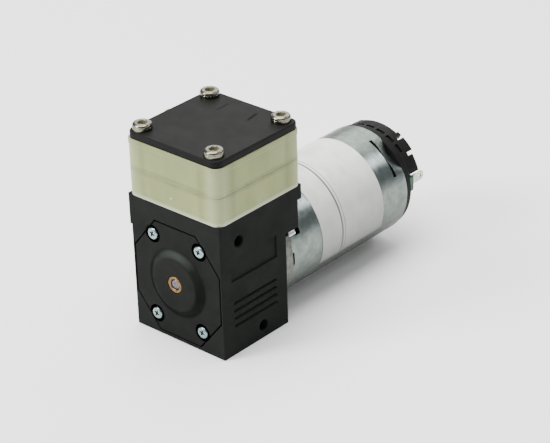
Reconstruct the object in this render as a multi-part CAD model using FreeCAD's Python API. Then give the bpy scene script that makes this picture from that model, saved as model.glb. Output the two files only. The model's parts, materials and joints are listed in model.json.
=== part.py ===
import FreeCAD, Part
import math
import os
from FreeCAD import Vector

os.makedirs("parts", exist_ok=True)

# Small diaphragm ink pump on a DC motor, in millimetres.
# Origin: centre of the pump body's bottom face. +Z up, +Y along the shaft towards the motor.

# Pump body
body_width = 33.0
body_depth = 26.3
body_height = 40.8
body_edge = 0.3
foot_edge = 0.2
axis_height = 18.55
collar_overhang = 5.3
collar_bottom = 28.2
flange_overhang = 6.8
flange_bottom = 36.5
left_step = 0.7
left_step_height = 31.5
saddle_gap = 0.5
chamber_radius = 12.4
rear_wall = 2.5
throat_radius = 7.0
bowl_depth = 3.2
bowl_step = 1.0

# Side holes, vent grooves and bare panel of the body
side_hole_radius = 1.7
hole_rim = 0.2
upper_hole_from_front = 7.4
upper_hole_height = 34.0
lower_hole_from_front = 16.1
lower_hole_height = 3.9
groove_count = 4
groove_pitch = 2.37
groove_height = 0.95
groove_depth = 1.1
groove_length = 17.8
groove_from_front = 4.4
groove_lowest = 8.8
panel_from_front = 3.8
panel_length = 18.5
panel_bottom = 22.7
panel_height = 6.9
panel_depth = 0.5

# Front cover
cover_thickness = 3.0
cover_half_width = 15.7
cover_rise = 16.85
cover_drop = 17.35
corner_run = 8.1
corner_rise = 10.0
cover_gap = 0.25
cover_edge = 0.25
boss_radius = 10.2
boss_height = 1.3
boss_round = 1.1
cover_spigot_wall = 1.5
cover_spigot_length = 1.2
cover_hub_radius = 4.6
cover_hub_length = 2.4
cover_screw_x = 8.55
cover_screw_z = 12.5
cover_screw_radius = 1.1
cover_screw_length = 4.2
cover_screw_head_radius = 2.0
cover_screw_head_height = 1.3
cover_screw_recess = 1.5
cover_pocket_radius = 2.65
cover_pocket_depth = 1.0

# Pump head
head_foot_proud = 0.1
head_seam_proud = 0.14
head_top_proud = 0.1
head_lip = 0.12
head_lip_height = 1.6
head_left_step = 0.3
head_corner = 2.5
head_edge = 0.12
lower_layer_height = 8.4
upper_layer_height = 8.7
plate_thickness = 2.05
plate_edge = 0.4
screw_inset = 3.3
screw_spread = 26.0
head_screw_radius = 1.5
head_screw_length = 22.0
head_screw_head_radius = 2.75
head_screw_head_height = 2.0
head_screw_crown = 0.45
head_screw_socket = 2.5
head_screw_socket_depth = 1.2
screw_hole_gap = 0.2
insert_radius = 2.1
insert_length = 3.8

# Diaphragm and its drive
stroke_radius = 1.2
rim_thickness = 1.4
rim_radius = 14.5
clamp_radius = 11.6
bead_inner = 12.9
bead_outer = 14.2
bead_depth = 0.9
crown_radius = 6.5
crown_thickness = 2.4
web_thickness = 0.95
web_sag = 1.1
insert_disc_radius = 5.0
insert_disc_thickness = 1.2
stud_radius = 1.5
stud_length = 6.0
dome_clearance = 0.3

# Valves and ports
valve_spacing = 13.0
valve_radius = 3.3
valve_thickness = 0.9
valve_lift = 0.5
valve_pocket_radius = 4.6
valve_pin_radius = 0.6
valve_bore_radius = 1.6
feed_hole_radius = 0.6
feed_hole_circle = 3.9
feed_hole_count = 6
seal_inner = 5.0
seal_width = 1.1
seal_depth = 0.8
port_rise = 4.4
port_bore_radius = 1.3
port_stem_radius = 2.0
port_crest_radius = 2.4
port_crest_start = 4.0
port_crest_land = 1.2
port_length = 6.8
port_collar_radius = 3.0
port_collar_length = 0.9

# Crank bearing, eccentric and rod
bearing_width = 5.0
bearing_bore_radius = 4.0
bearing_outer_radius = 8.0
bearing_wall = 1.15
ball_radius = 1.15
ball_count = 8
ball_gap = 0.05
cage_wall = 0.6
cage_width = 3.2
cage_gap = 0.12
shoulder_radius = 4.9
shoulder_length = 0.6
journal_tail = 1.6
weight_radius = 11.8
weight_thickness = 5.0
weight_half_angle = 68.0
set_screw_radius = 1.5
set_screw_length = 5.5
clip_thickness = 0.7
clip_outer = 5.1
clip_groove_depth = 0.3
rod_wall = 2.0
rod_stem_width = 7.0
rod_boss_radius = 5.0
rod_boss_height = 2.6

# Motor
shaft_radius = 1.5
shaft_front_recess = 0.4
bush_radius = 2.55
bush_recess = 0.1
can_radius = 16.55
can_wall = 1.2
can_edge = 0.35
can_length = 50.8
plate_disc_thickness = 2.7
plate_step = 0.05
register_length = 1.7
motor_spigot_radius = 5.0
motor_spigot_length = 2.2
motor_bush_radius = 3.0
motor_bush_length = 7.0
motor_screw_offset = 9.0
motor_screw_radius = 1.25
motor_screw_length = 6.4
motor_screw_head_radius = 2.25
motor_screw_head_height = 1.6
crimp_count = 4
crimp_angle = 26.0
crimp_window_half = 3.3
crimp_window_start = 2.5
crimp_window_length = 2.1
crimp_tongue_angle = 29.25
crimp_tongue_half = 1.75
crimp_tongue_rise = 0.4
crimp_notch_half = 2.9
slit_angle = 1.3
slit_half = 6.8
slit_width = 0.6
lance_angle = 46.5
lance_half = 23.2
lance_width = 1.25
lance_strip = 3.2
lance_dip = 2.4
lance_front_dip = 0.9
lance_thinning = 0.02
magnet_wall = 3.5
magnet_half_angle = 62.0
magnet_start = 6.0
magnet_length = 32.0
clip_strip_wall = 0.5

# Armature
core_radius = 11.2
core_start = 12.0
core_length = 24.0
slot_count = 5
tooth_width = 3.2
tip_wall = 1.3
tip_half_angle = 31.0
hub_radius = 4.6
winding_outer = 9.6
winding_half_angle = 14.5
end_turn_length = 4.2
commutator_radius = 4.5
commutator_start = 40.0
commutator_length = 6.5
commutator_slot = 0.5
washer_thickness = 0.5
washer_radius = 3.0

# End cap, brush gear and terminals
cap_flange_radius = 16.2
cap_flange_thickness = 2.5
cap_edge = 0.4
cap_spigot_length = 4.3
cap_pocket_radius = 12.3
cap_recess_radius = 10.5
cap_recess_depth = 3.5
cap_boss_radius = 4.5
cap_boss_length = 2.3
wall_outer = 15.7
wall_inner = 14.0
wall_height = 4.9
wall_start_angle = 17.0
rim_pocket_count = 7
rim_pocket_pitch = 14.0
rim_pocket_half = 5.2
rim_pocket_depth = 0.6
rim_pocket_length = 1.6
rear_bush_length = 6.5
board_thickness = 1.6
board_radius = 13.6
board_reach = 15.6
board_bottom = -0.6
board_tab_top = 3.9
board_gap = 0.1
terminal_offset = 14.5
terminal_rise = 2.1
terminal_width = 2.8
terminal_thickness = 0.5
terminal_length = 7.4
terminal_tail = 5.0
terminal_hole_radius = 0.6
brush_width = 3.0
brush_reach = 2.6
brush_gap = 0.05
arm_thickness = 0.3
post_size = 2.4
post_offset = 10.8
post_rise = 6.0

# Foil label round the can
label_start = 12.5
label_length = 27.1
label_from_angle = -24.0
label_to_angle = 150.0
label_thickness = 0.1
label_gap = 0.02

# Fits
seat_gap = 0.02
running_gap = 0.03
socket_clearance = 0.05

# Places worked out from the sizes above
half_width = body_width / 2
front_y = -body_depth / 2
rear_y = body_depth / 2
collar_y = rear_y + collar_overhang
flange_y = rear_y + flange_overhang
head_centre_y = (front_y + flange_y) / 2
cover_back_y = front_y + cover_thickness
chamber_back_y = rear_y - rear_wall
left_face_x = -half_width - left_step
head_left_x = -half_width - head_left_step
screw_middle_x = (left_face_x + half_width) / 2
seam_height = body_height + lower_layer_height
head_top = seam_height + upper_layer_height
port_height = seam_height + port_rise
plate_top = head_top + plate_thickness
crank_z = axis_height - stroke_radius
bearing_front_y = head_centre_y - bearing_width / 2
bearing_back_y = head_centre_y + bearing_width / 2
ball_circle = (bearing_bore_radius + bearing_outer_radius) / 2
seat_z = body_height - rim_thickness
crown_top_z = body_height - stroke_radius
crown_bottom_z = crown_top_z - crown_thickness
dome_top_z = body_height + stroke_radius + dome_clearance
can_inner = can_radius - can_wall
disc_back_y = rear_y + plate_disc_thickness
can_front_y = disc_back_y + plate_step
can_rear_y = can_front_y + can_length
cap_back_y = can_rear_y + cap_flange_thickness
shaft_front_y = front_y - boss_height + shaft_front_recess
cap_front_y = can_rear_y - cap_spigot_length
boss_back_y = cap_back_y + cap_boss_length
valve_places = [head_centre_y - valve_spacing / 2, head_centre_y + valve_spacing / 2]
screw_places = [
    (screw_middle_x + side * screw_spread / 2, y)
    for side in (-1, 1)
    for y in (front_y + screw_inset, flange_y - screw_inset)
]
cover_screw_places = [
    (side * cover_screw_x, axis_height + up * cover_screw_z) for side in (-1, 1) for up in (-1, 1)
]


# Basic solids
def block(x0, x1, y0, y1, z0, z1):
    return Part.makeBox(x1 - x0, y1 - y0, z1 - z0, Vector(x0, y0, z0))


def cylinder_x(radius, x0, x1, y, z):
    return Part.makeCylinder(radius, x1 - x0, Vector(x0, y, z), Vector(1, 0, 0))


def cylinder_y(radius, y0, y1, x=0.0, z=axis_height):
    return Part.makeCylinder(radius, y1 - y0, Vector(x, y0, z), Vector(0, 1, 0))


def cylinder_z(radius, z0, z1, x, y):
    return Part.makeCylinder(radius, z1 - z0, Vector(x, y, z0), Vector(0, 0, 1))


def ring_y(outer, inner, y0, y1, z=axis_height):
    return cylinder_y(outer, y0, y1, 0.0, z).cut(cylinder_y(inner, y0, y1, 0.0, z))


def hex_prism(across_flats, centre, direction, length):
    corner = across_flats / math.sqrt(3)
    axis = Vector(direction)
    start = Vector(0, 0, 1) if abs(axis.z) < 0.5 else Vector(1, 0, 0)
    side = axis.cross(start)
    points = []
    for step in range(7):
        angle = math.radians(60 * step)
        points.append(centre + start * (corner * math.cos(angle)) + side * (corner * math.sin(angle)))
    return Part.Face(Part.makePolygon(points)).extrude(axis * length)


def join(shapes):
    result = shapes[0]
    for shape in shapes[1:]:
        result = result.fuse(shape)
    return result.removeSplitter()


def remove(base, tools):
    for tool in tools:
        base = base.cut(tool)
    return base


def edges_along(shape, direction):
    picked = []
    for edge in shape.Edges:
        if edge.Curve.TypeId == "Part::GeomLine":
            start, end = edge.Vertexes[0].Point, edge.Vertexes[-1].Point
            if (end - start).normalize().cross(direction).Length < 1e-6:
                picked.append(edge)
    return picked


def round_block(x0, x1, y0, y1, z0, z1, corner):
    shape = block(x0, x1, y0, y1, z0, z1)
    return shape.makeFillet(corner, edges_along(shape, Vector(0, 0, 1)))


def polar(radius, angle, y):
    turn = math.radians(angle)
    return Vector(radius * math.cos(turn), y, axis_height + radius * math.sin(turn))


def arc_block(inner, outer, start, end, y0, y1):
    # Part of a tube round the shaft; angles run from +X towards +Z.
    middle = (start + end) / 2
    edges = [
        Part.Arc(polar(outer, start, y0), polar(outer, middle, y0), polar(outer, end, y0)).toShape(),
        Part.makeLine(polar(outer, end, y0), polar(inner, end, y0)),
        Part.Arc(polar(inner, end, y0), polar(inner, middle, y0), polar(inner, start, y0)).toShape(),
        Part.makeLine(polar(inner, start, y0), polar(outer, start, y0)),
    ]
    return Part.Face(Part.Wire(edges)).extrude(Vector(0, y1 - y0, 0))


def turned_about_z(edges, x, y):
    # Edges hold a closed outline as (radius, 0, height); the axis is the vertical through (x, y).
    solid = Part.Face(Part.Wire(edges)).revolve(Vector(0, 0, 0), Vector(0, 0, 1), 360)
    solid.translate(Vector(x, y, 0))
    return solid


def outline(points):
    closed = points + [points[0]]
    return [Part.makeLine(Vector(*closed[i]), Vector(*closed[i + 1])) for i in range(len(points))]


def save(name, shape):
    shape.exportStep("parts/" + name + ".step")


# Pump body
def octagon(grow, y0, y1):
    top = axis_height + cover_rise
    bottom = axis_height - cover_drop
    inner = cover_half_width - corner_run
    points = [
        (inner, top), (cover_half_width, top - corner_rise),
        (cover_half_width, bottom + corner_rise), (inner, bottom),
        (-inner, bottom), (-cover_half_width, bottom + corner_rise),
        (-cover_half_width, top - corner_rise), (-inner, top),
    ]
    wire = Part.makePolygon([Vector(x, y0, z) for x, z in points + [points[0]]])
    if grow:
        wire = wire.makeOffset2D(grow, 2)
    return Part.Face(wire).extrude(Vector(0, y1 - y0, 0))


def side_holes():
    # Fixing holes right across the body, with their rims broken.
    left_upper = left_face_x if upper_hole_height > left_step_height else -half_width
    places = (
        (upper_hole_from_front, upper_hole_height, left_upper),
        (lower_hole_from_front, lower_hole_height, -half_width),
    )
    tools = []
    for from_front, height, left in places:
        y = front_y + from_front
        tools.append(cylinder_x(side_hole_radius, left_face_x - 1, half_width + 1, y, height))
        for face, direction in ((left, 1), (half_width, -1)):
            tools.append(Part.makeCone(side_hole_radius + hole_rim, side_hole_radius, hole_rim,
                                       Vector(face, y, height), Vector(direction, 0, 0)))
    return tools


def side_grooves(side):
    # Vent grooves of one side; the other side is its mirror image.
    face_x = side * half_width
    tools = []
    for step in range(groove_count):
        middle = groove_lowest + step * groove_pitch
        start = front_y + groove_from_front
        inner_x = face_x - side * groove_depth
        outer_x = face_x + side
        slot = block(
            min(inner_x, outer_x), max(inner_x, outer_x), start, start + groove_length,
            middle - groove_height / 2, middle + groove_height / 2,
        )
        tools.append(slot.makeFillet(groove_height * 0.45, edges_along(slot, Vector(1, 0, 0))))
    return tools


def housing():
    left = -half_width
    stages = [
        (left, rear_y, 0.0, collar_bottom),
        (left, collar_y, collar_bottom, left_step_height),
        (left_face_x, collar_y, left_step_height, flange_bottom),
        (left_face_x, flange_y, flange_bottom, body_height),
    ]
    body = join([round_block(x0, half_width, front_y, y1, z0, z1, body_edge) for x0, y1, z0, z1 in stages])
    body = body.makeFillet(foot_edge, [e for e in body.Edges if is_at_z(e, 0)])
    tools = [
        cylinder_y(can_radius + saddle_gap, rear_y, flange_y + 1),
        octagon(cover_gap, front_y - 1, cover_back_y),
        cylinder_y(chamber_radius, front_y, chamber_back_y),
        cylinder_y(motor_spigot_radius + seat_gap, chamber_back_y - 1, rear_y + 1),
        cylinder_z(throat_radius, axis_height, body_height, 0, head_centre_y),
        diaphragm_seat(),
    ]
    for x, z in cover_screw_places:
        tools.append(cylinder_y(cover_pocket_radius, front_y - 1, front_y + cover_pocket_depth, x, z))
        end = front_y + cover_pocket_depth + cover_screw_length
        tools.append(cylinder_y(cover_screw_radius + seat_gap, front_y, end, x, z))
    for side in (-1, 1):
        hole = motor_screw_radius + screw_hole_gap
        tools.append(cylinder_y(hole, chamber_back_y - 1, rear_y + 1, side * motor_screw_offset))
        tools += side_grooves(side)
    tools += side_holes()
    for x, y in screw_places:
        tools.append(cylinder_z(insert_radius + seat_gap, body_height - insert_length, body_height, x, y))
        tip = plate_top - head_screw_length - 0.5
        tools.append(cylinder_z(head_screw_radius + screw_hole_gap, tip, body_height, x, y))
    panel_y = front_y + panel_from_front
    panel = block(
        half_width - panel_depth, half_width + 1, panel_y, panel_y + panel_length,
        panel_bottom, panel_bottom + panel_height,
    )
    tools.append(panel.makeFillet(body_edge, edges_along(panel, Vector(1, 0, 0))))
    return remove(body, tools)


def diaphragm_seat():
    # Bowl under the diaphragm, its flat clamping seat and the groove for its bead.
    points = [
        (0, 0, seat_z - bowl_depth), (throat_radius, 0, seat_z - bowl_depth),
        (clamp_radius - 0.3, 0, seat_z - bowl_step), (clamp_radius, 0, seat_z),
        (bead_inner - seat_gap, 0, seat_z), (bead_inner - seat_gap, 0, seat_z - bead_depth),
        (bead_outer + seat_gap, 0, seat_z - bead_depth), (bead_outer + seat_gap, 0, seat_z),
        (rim_radius + seat_gap, 0, seat_z),
        (rim_radius + seat_gap, 0, body_height + 1), (0, 0, body_height + 1),
    ]
    return turned_about_z(outline(points), 0, head_centre_y)


def threaded_inserts():
    solids = []
    for x, y in screw_places:
        top = body_height
        bottom = body_height - insert_length
        sleeve = cylinder_z(insert_radius, bottom, top, x, y)
        sleeve = sleeve.cut(cylinder_z(head_screw_radius + seat_gap, bottom, top, x, y))
        middle = (top + bottom) / 2
        waist = cylinder_z(insert_radius + 1, middle - 0.4, middle + 0.4, x, y)
        waist = waist.cut(cylinder_z(insert_radius - 0.25, middle - 0.4, middle + 0.4, x, y))
        solids.append(sleeve.cut(waist))
    return Part.makeCompound(solids)


# Front cover, its bush and its screws
def front_cover():
    plate = octagon(0, front_y, cover_back_y)
    plate = plate.makeChamfer(cover_edge, [e for e in plate.Edges if is_at_y(e, front_y)])
    boss = cylinder_y(boss_radius, front_y - boss_height, front_y + 1)
    boss = boss.makeFillet(boss_round, [e for e in boss.Edges if is_at_y(e, front_y - boss_height)])
    spigot_radius = chamber_radius - socket_clearance
    spigot = ring_y(spigot_radius, spigot_radius - cover_spigot_wall, cover_back_y - 1,
                    cover_back_y + cover_spigot_length)
    hub = cylinder_y(cover_hub_radius, cover_back_y - 1, cover_back_y + cover_hub_length)
    cover = join([plate, boss, spigot, hub])
    tools = [cylinder_y(bush_radius + seat_gap, front_y - boss_height - 1, cover_back_y + cover_hub_length + 1)]
    for x, z in cover_screw_places:
        tools.append(cylinder_y(cover_pocket_radius, front_y - 1, front_y + cover_pocket_depth, x, z))
        tools.append(cylinder_y(cover_screw_radius + screw_hole_gap, front_y, cover_back_y, x, z))
    return remove(cover, tools)


def is_at_y(edge, y):
    box = edge.BoundBox
    return abs(box.YMin - y) < 1e-6 and abs(box.YMax - y) < 1e-6


def is_at_z(edge, z):
    box = edge.BoundBox
    return abs(box.ZMin - z) < 1e-6 and abs(box.ZMax - z) < 1e-6


def cover_screws():
    solids = []
    for x, z in cover_screw_places:
        seat = front_y + cover_pocket_depth
        top = seat - cover_screw_head_height
        head = cylinder_y(cover_screw_head_radius, top, seat, x, z)
        head = head.makeFillet(0.35, [e for e in head.Edges if is_at_y(e, top)])
        shank = cylinder_y(cover_screw_radius, seat - 0.1, seat + cover_screw_length, x, z)
        tip_y = seat + cover_screw_length
        shank = shank.makeChamfer(0.4, [e for e in shank.Edges if is_at_y(e, tip_y)])
        recess = hex_prism(cover_screw_recess, Vector(x, top - 0.1, z), (0, 1, 0), 0.9)
        solids.append(join([head, shank]).cut(recess))
    return Part.makeCompound(solids)


def front_bush():
    end = cover_back_y + cover_hub_length
    start = front_y - boss_height + bush_recess
    bush = ring_y(bush_radius, shaft_radius + running_gap, start, end)
    rims = [e for e in bush.Edges if is_at_y(e, start)]
    return bush.makeChamfer(0.2, rims)


# Pump head
def head_outline(proud, z):
    base = round_block(head_left_x - proud, half_width + proud, front_y - proud, flange_y + proud,
                       z, z + 1, head_corner)
    return [face for face in base.Faces if abs(face.BoundBox.ZMax - z) < 1e-6][0].OuterWire


def head_layer(levels):
    # Levels hold (height, how far the outline stands proud of the body), from the bottom up.
    outlines = [head_outline(proud, height) for height, proud in levels]
    return join([Part.makeLoft(list(pair), True, True) for pair in zip(outlines, outlines[1:])])


def head_holes(bottom, top):
    return [cylinder_z(head_screw_radius + screw_hole_gap, bottom, top, x, y) for x, y in screw_places]


def feed_holes(y, bottom, top):
    holes = []
    for step in range(feed_hole_count):
        angle = math.radians(360 * step / feed_hole_count)
        x = feed_hole_circle * math.cos(angle)
        holes.append(cylinder_z(feed_hole_radius, bottom, top, x, y + feed_hole_circle * math.sin(angle)))
    return holes


def head_lower():
    inlet_y, outlet_y = valve_places
    layer = head_layer([
        (body_height, head_foot_proud), (seam_height - head_edge, head_seam_proud),
        (seam_height, head_seam_proud - head_edge),
    ])
    dome = turned_about_z(outline([
        (0, 0, body_height - 1), (clamp_radius, 0, body_height - 1), (clamp_radius, 0, body_height),
        (crown_radius + stroke_radius, 0, dome_top_z), (0, 0, dome_top_z),
    ]), 0, head_centre_y)
    floor = seam_height - valve_thickness - valve_lift
    tools = [
        dome,
        cylinder_z(valve_pocket_radius, floor, seam_height, 0, inlet_y),
        cylinder_z(valve_bore_radius, body_height, seam_height, 0, outlet_y),
    ]
    tools += feed_holes(inlet_y, body_height, floor + 1) + head_holes(body_height, seam_height)
    for y in valve_places:
        groove = cylinder_z(seal_inner + seal_width, seam_height - seal_depth, seam_height, 0, y)
        tools.append(groove.cut(cylinder_z(seal_inner, seam_height - seal_depth, seam_height, 0, y)))
    layer = remove(layer, tools)
    pin = cylinder_z(valve_pin_radius, floor - 1, seam_height + valve_lift, 0, inlet_y)
    return join([layer, pin])


def head_upper():
    inlet_y, outlet_y = valve_places
    lip_bottom = head_top - head_lip_height
    lip_proud = head_top_proud + head_lip
    layer = head_layer([
        (seam_height, head_seam_proud - head_edge), (seam_height + head_edge, head_seam_proud),
        (head_top, head_top_proud),
    ])
    lip = head_layer([
        (lip_bottom, lip_proud), (head_top - head_edge, lip_proud), (head_top, lip_proud - head_edge),
    ])
    layer = join([layer, lip])
    roof = seam_height + valve_thickness + valve_lift
    plenum_bottom = roof + 1.2
    tools = [
        cylinder_z(valve_bore_radius, seam_height, port_height, 0, inlet_y),
        cylinder_z(valve_pocket_radius, seam_height, roof, 0, outlet_y),
        cylinder_z(valve_pocket_radius, plenum_bottom, port_height + port_bore_radius, 0, outlet_y),
    ]
    tools += feed_holes(outlet_y, seam_height, plenum_bottom + 0.5) + head_holes(seam_height, head_top)
    layer = remove(layer, tools)
    pin = cylinder_z(valve_pin_radius, seam_height - valve_lift, roof + 0.5, 0, outlet_y)
    layer = join([layer, pin] + [port_nipple(y) for y in valve_places])
    return remove(layer, [port_bore(y) for y in valve_places])


def port_nipple(y):
    face = head_seam_proud - head_left_x
    crest_end = port_crest_start + port_crest_land
    points = [
        (0, 0, -1), (port_collar_radius, 0, -1), (port_collar_radius, 0, port_collar_length),
        (port_stem_radius, 0, port_collar_length), (port_stem_radius, 0, port_crest_start),
        (port_crest_radius, 0, port_crest_start), (port_crest_radius, 0, crest_end),
        (port_bore_radius + 0.4, 0, port_length), (0, 0, port_length),
    ]
    nipple = turned_about_z(outline(points), 0, 0)
    nipple.rotate(Vector(0, 0, 0), Vector(0, 1, 0), -90)
    nipple.translate(Vector(-face, y, port_height))
    return nipple


def port_bore(y):
    return cylinder_x(port_bore_radius, head_left_x - port_length - 1, 0, y, port_height)


def top_plate():
    plate = round_block(-half_width, half_width, front_y, flange_y, head_top, plate_top, head_corner)
    plate = plate.makeFillet(plate_edge, [e for e in plate.Edges if is_at_z(e, plate_top)])
    holes = [cylinder_z(head_screw_radius + screw_hole_gap, head_top, plate_top, x, y) for x, y in screw_places]
    return remove(plate, holes)


def head_screws():
    solids = []
    for x, y in screw_places:
        top = plate_top + head_screw_head_height
        head = cylinder_z(head_screw_head_radius, plate_top, top, x, y)
        head = head.makeFillet(head_screw_crown, [e for e in head.Edges if is_at_z(e, top)])
        shank = cylinder_z(head_screw_radius, plate_top - head_screw_length, plate_top + 0.1, x, y)
        depth = head_screw_socket_depth
        socket = hex_prism(head_screw_socket, Vector(x, y, top - depth), (0, 0, 1), depth + 0.1)
        solids.append(join([head, shank]).cut(socket))
    return Part.makeCompound(solids)


# Valves and their seals
def valve_disc(y, z):
    disc = cylinder_z(valve_radius, z, z + valve_thickness, 0, y)
    return disc.cut(cylinder_z(valve_pin_radius + 0.12, z, z + valve_thickness, 0, y))


def valve_seals():
    solids = []
    for y in valve_places:
        low = seam_height - seal_depth
        outer = cylinder_z(seal_inner + seal_width - seat_gap, low, seam_height, 0, y)
        ring = outer.cut(cylinder_z(seal_inner + seat_gap, low, seam_height, 0, y))
        solids.append(ring.makeChamfer(0.25, ring.Edges))
    return Part.makeCompound(solids)


# Diaphragm, insert and connecting rod
def diaphragm():
    middle = (crown_radius + clamp_radius) / 2
    upper_low = (crown_top_z + body_height) / 2 - web_sag
    edges = outline_open([
        (clamp_radius, 0, body_height), (rim_radius, 0, body_height), (rim_radius, 0, seat_z),
        (bead_outer, 0, seat_z), (bead_outer, 0, seat_z - bead_depth), (bead_inner, 0, seat_z - bead_depth),
        (bead_inner, 0, seat_z), (clamp_radius, 0, seat_z),
    ])
    edges.append(Part.Arc(
        Vector(clamp_radius, 0, seat_z), Vector(middle, 0, upper_low - web_thickness),
        Vector(crown_radius, 0, crown_top_z - web_thickness),
    ).toShape())
    edges += outline_open([
        (crown_radius, 0, crown_top_z - web_thickness), (crown_radius, 0, crown_bottom_z),
        (insert_disc_radius + seat_gap, 0, crown_bottom_z),
        (insert_disc_radius + seat_gap, 0, crown_bottom_z + insert_disc_thickness),
        (0, 0, crown_bottom_z + insert_disc_thickness), (0, 0, crown_top_z), (crown_radius, 0, crown_top_z),
    ])
    edges.append(Part.Arc(
        Vector(crown_radius, 0, crown_top_z), Vector(middle, 0, upper_low), Vector(clamp_radius, 0, body_height),
    ).toShape())
    return turned_about_z(edges, 0, head_centre_y)


def outline_open(points):
    return [Part.makeLine(Vector(*points[i]), Vector(*points[i + 1])) for i in range(len(points) - 1)]


def diaphragm_insert():
    disc = cylinder_z(insert_disc_radius, crown_bottom_z, crown_bottom_z + insert_disc_thickness, 0, head_centre_y)
    stud = cylinder_z(stud_radius, crown_bottom_z - stud_length, crown_bottom_z + 0.5, 0, head_centre_y)
    return join([disc, stud])


def connecting_rod():
    ring = cylinder_y(bearing_outer_radius + rod_wall, bearing_front_y, bearing_back_y, 0, crank_z)
    top = crown_bottom_z
    stem = block(-rod_stem_width / 2, rod_stem_width / 2, bearing_front_y, bearing_back_y, crank_z, top - 1)
    boss = cylinder_z(rod_boss_radius, top - rod_boss_height, top, 0, head_centre_y)
    rod = join([ring, stem, boss])
    tools = [
        cylinder_y(bearing_outer_radius + seat_gap, bearing_front_y - 1, bearing_back_y + 1, 0, crank_z),
        cylinder_z(stud_radius + seat_gap, top - stud_length - 0.4, top, 0, head_centre_y),
    ]
    return remove(rod, tools)


# Crank bearing
def race_groove():
    return Part.makeTorus(ball_circle, ball_radius + ball_gap, Vector(0, head_centre_y, crank_z), Vector(0, 1, 0))


def bearing_inner_ring():
    bore = bearing_bore_radius + seat_gap
    ring = ring_y(bearing_bore_radius + bearing_wall, bore, bearing_front_y, bearing_back_y, crank_z)
    return ring.cut(race_groove())


def bearing_outer_ring():
    inner = bearing_outer_radius - bearing_wall
    return ring_y(bearing_outer_radius, inner, bearing_front_y, bearing_back_y, crank_z).cut(race_groove())


def ball_centres():
    centres = []
    for step in range(ball_count):
        angle = math.radians(360 * (step + 0.5) / ball_count)
        centres.append(Vector(ball_circle * math.cos(angle), head_centre_y, crank_z + ball_circle * math.sin(angle)))
    return centres


def bearing_balls():
    return Part.makeCompound([Part.makeSphere(ball_radius, centre) for centre in ball_centres()])


def bearing_cage():
    half = cage_width / 2
    cage = ring_y(ball_circle + cage_wall / 2, ball_circle - cage_wall / 2,
                  head_centre_y - half, head_centre_y + half, crank_z)
    axis_point = Vector(0, head_centre_y, crank_z)
    for centre in ball_centres():
        out = (centre - axis_point).normalize()
        start = centre - out * ball_radius
        cage = cage.cut(Part.makeCylinder(ball_radius + cage_gap, 2 * ball_radius, start, out))
    return cage


# Eccentric and what holds it
def eccentric():
    weight_back = bearing_front_y - shoulder_length
    weight_front = weight_back - weight_thickness
    tail = bearing_back_y + journal_tail
    parts = [
        cylinder_y(bearing_bore_radius, weight_back, tail, 0, crank_z),
        cylinder_y(shoulder_radius, weight_front, bearing_front_y, 0, crank_z),
        arc_block(shaft_radius + 1, weight_radius, 90 - weight_half_angle, 90 + weight_half_angle,
                  weight_front, weight_back),
        cylinder_y(shoulder_radius, weight_front, weight_back),
    ]
    groove_start = bearing_back_y + seat_gap
    groove = ring_y(bearing_bore_radius + 1, bearing_bore_radius - clip_groove_depth, groove_start,
                    groove_start + clip_thickness + seat_gap, crank_z)
    tools = [
        cylinder_y(shaft_radius + seat_gap, weight_front - 1, tail + 1),
        groove,
        cylinder_z(set_screw_radius + seat_gap, axis_height, axis_height + weight_radius + 1, 0,
                   (weight_front + weight_back) / 2),
    ]
    return remove(join(parts), tools)


def eccentric_set_screw():
    y = bearing_front_y - shoulder_length - weight_thickness / 2
    start = axis_height + shaft_radius + seat_gap
    end = start + set_screw_length
    screw = cylinder_z(set_screw_radius, start, end, 0, y)
    screw = screw.common(Part.makeCone(set_screw_radius - 0.5, set_screw_radius + set_screw_length - 0.5,
                                       set_screw_length, Vector(0, y, start), Vector(0, 0, 1)))
    saddle = cylinder_y(shaft_radius + seat_gap, y - 3, y + 3)
    return remove(screw, [saddle, hex_prism(1.5, Vector(0, y, end - 1.5), (0, 0, 1), 2)])


def bearing_clip():
    start = bearing_back_y + seat_gap
    inner = bearing_bore_radius - clip_groove_depth + seat_gap
    ring = ring_y(clip_outer, inner, start, start + clip_thickness, crank_z)
    gap = block(-1.6, 1.6, start - 1, start + 2, crank_z - clip_outer - 1, crank_z)
    return ring.cut(gap)


# Motor front
def motor_front_plate():
    disc = cylinder_y(can_radius - plate_step, rear_y, disc_back_y)
    disc = disc.makeFillet(can_edge, [e for e in disc.Edges if is_at_y(e, rear_y)])
    spigot = cylinder_y(motor_spigot_radius, rear_y - motor_spigot_length, rear_y + 1)
    register = cylinder_y(can_inner - socket_clearance, disc_back_y - 1, disc_back_y + register_length)
    bush_end = rear_y - motor_spigot_length + motor_bush_length
    hub = cylinder_y(motor_bush_radius + 1.5, disc_back_y, bush_end)
    tools = [cylinder_y(motor_bush_radius + seat_gap, rear_y - motor_spigot_length - 1, bush_end + 1)]
    for side in (-1, 1):
        hole = motor_screw_radius + seat_gap
        tools.append(cylinder_y(hole, rear_y - 1, disc_back_y + register_length + 1, side * motor_screw_offset))
    for step in range(crimp_count):
        # Notch in the rim behind each crimped tongue.
        tongue = crimp_tongue_angle + 360 * step / crimp_count
        tools.append(arc_block(can_inner - 0.6, can_radius + 1, tongue - crimp_notch_half, tongue + crimp_notch_half,
                               rear_y - 1, disc_back_y + 1))
    return remove(join([disc, spigot, register, hub]), tools)


def motor_front_bush():
    start = rear_y - motor_spigot_length
    return ring_y(motor_bush_radius, shaft_radius + running_gap, start, start + motor_bush_length)


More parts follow.
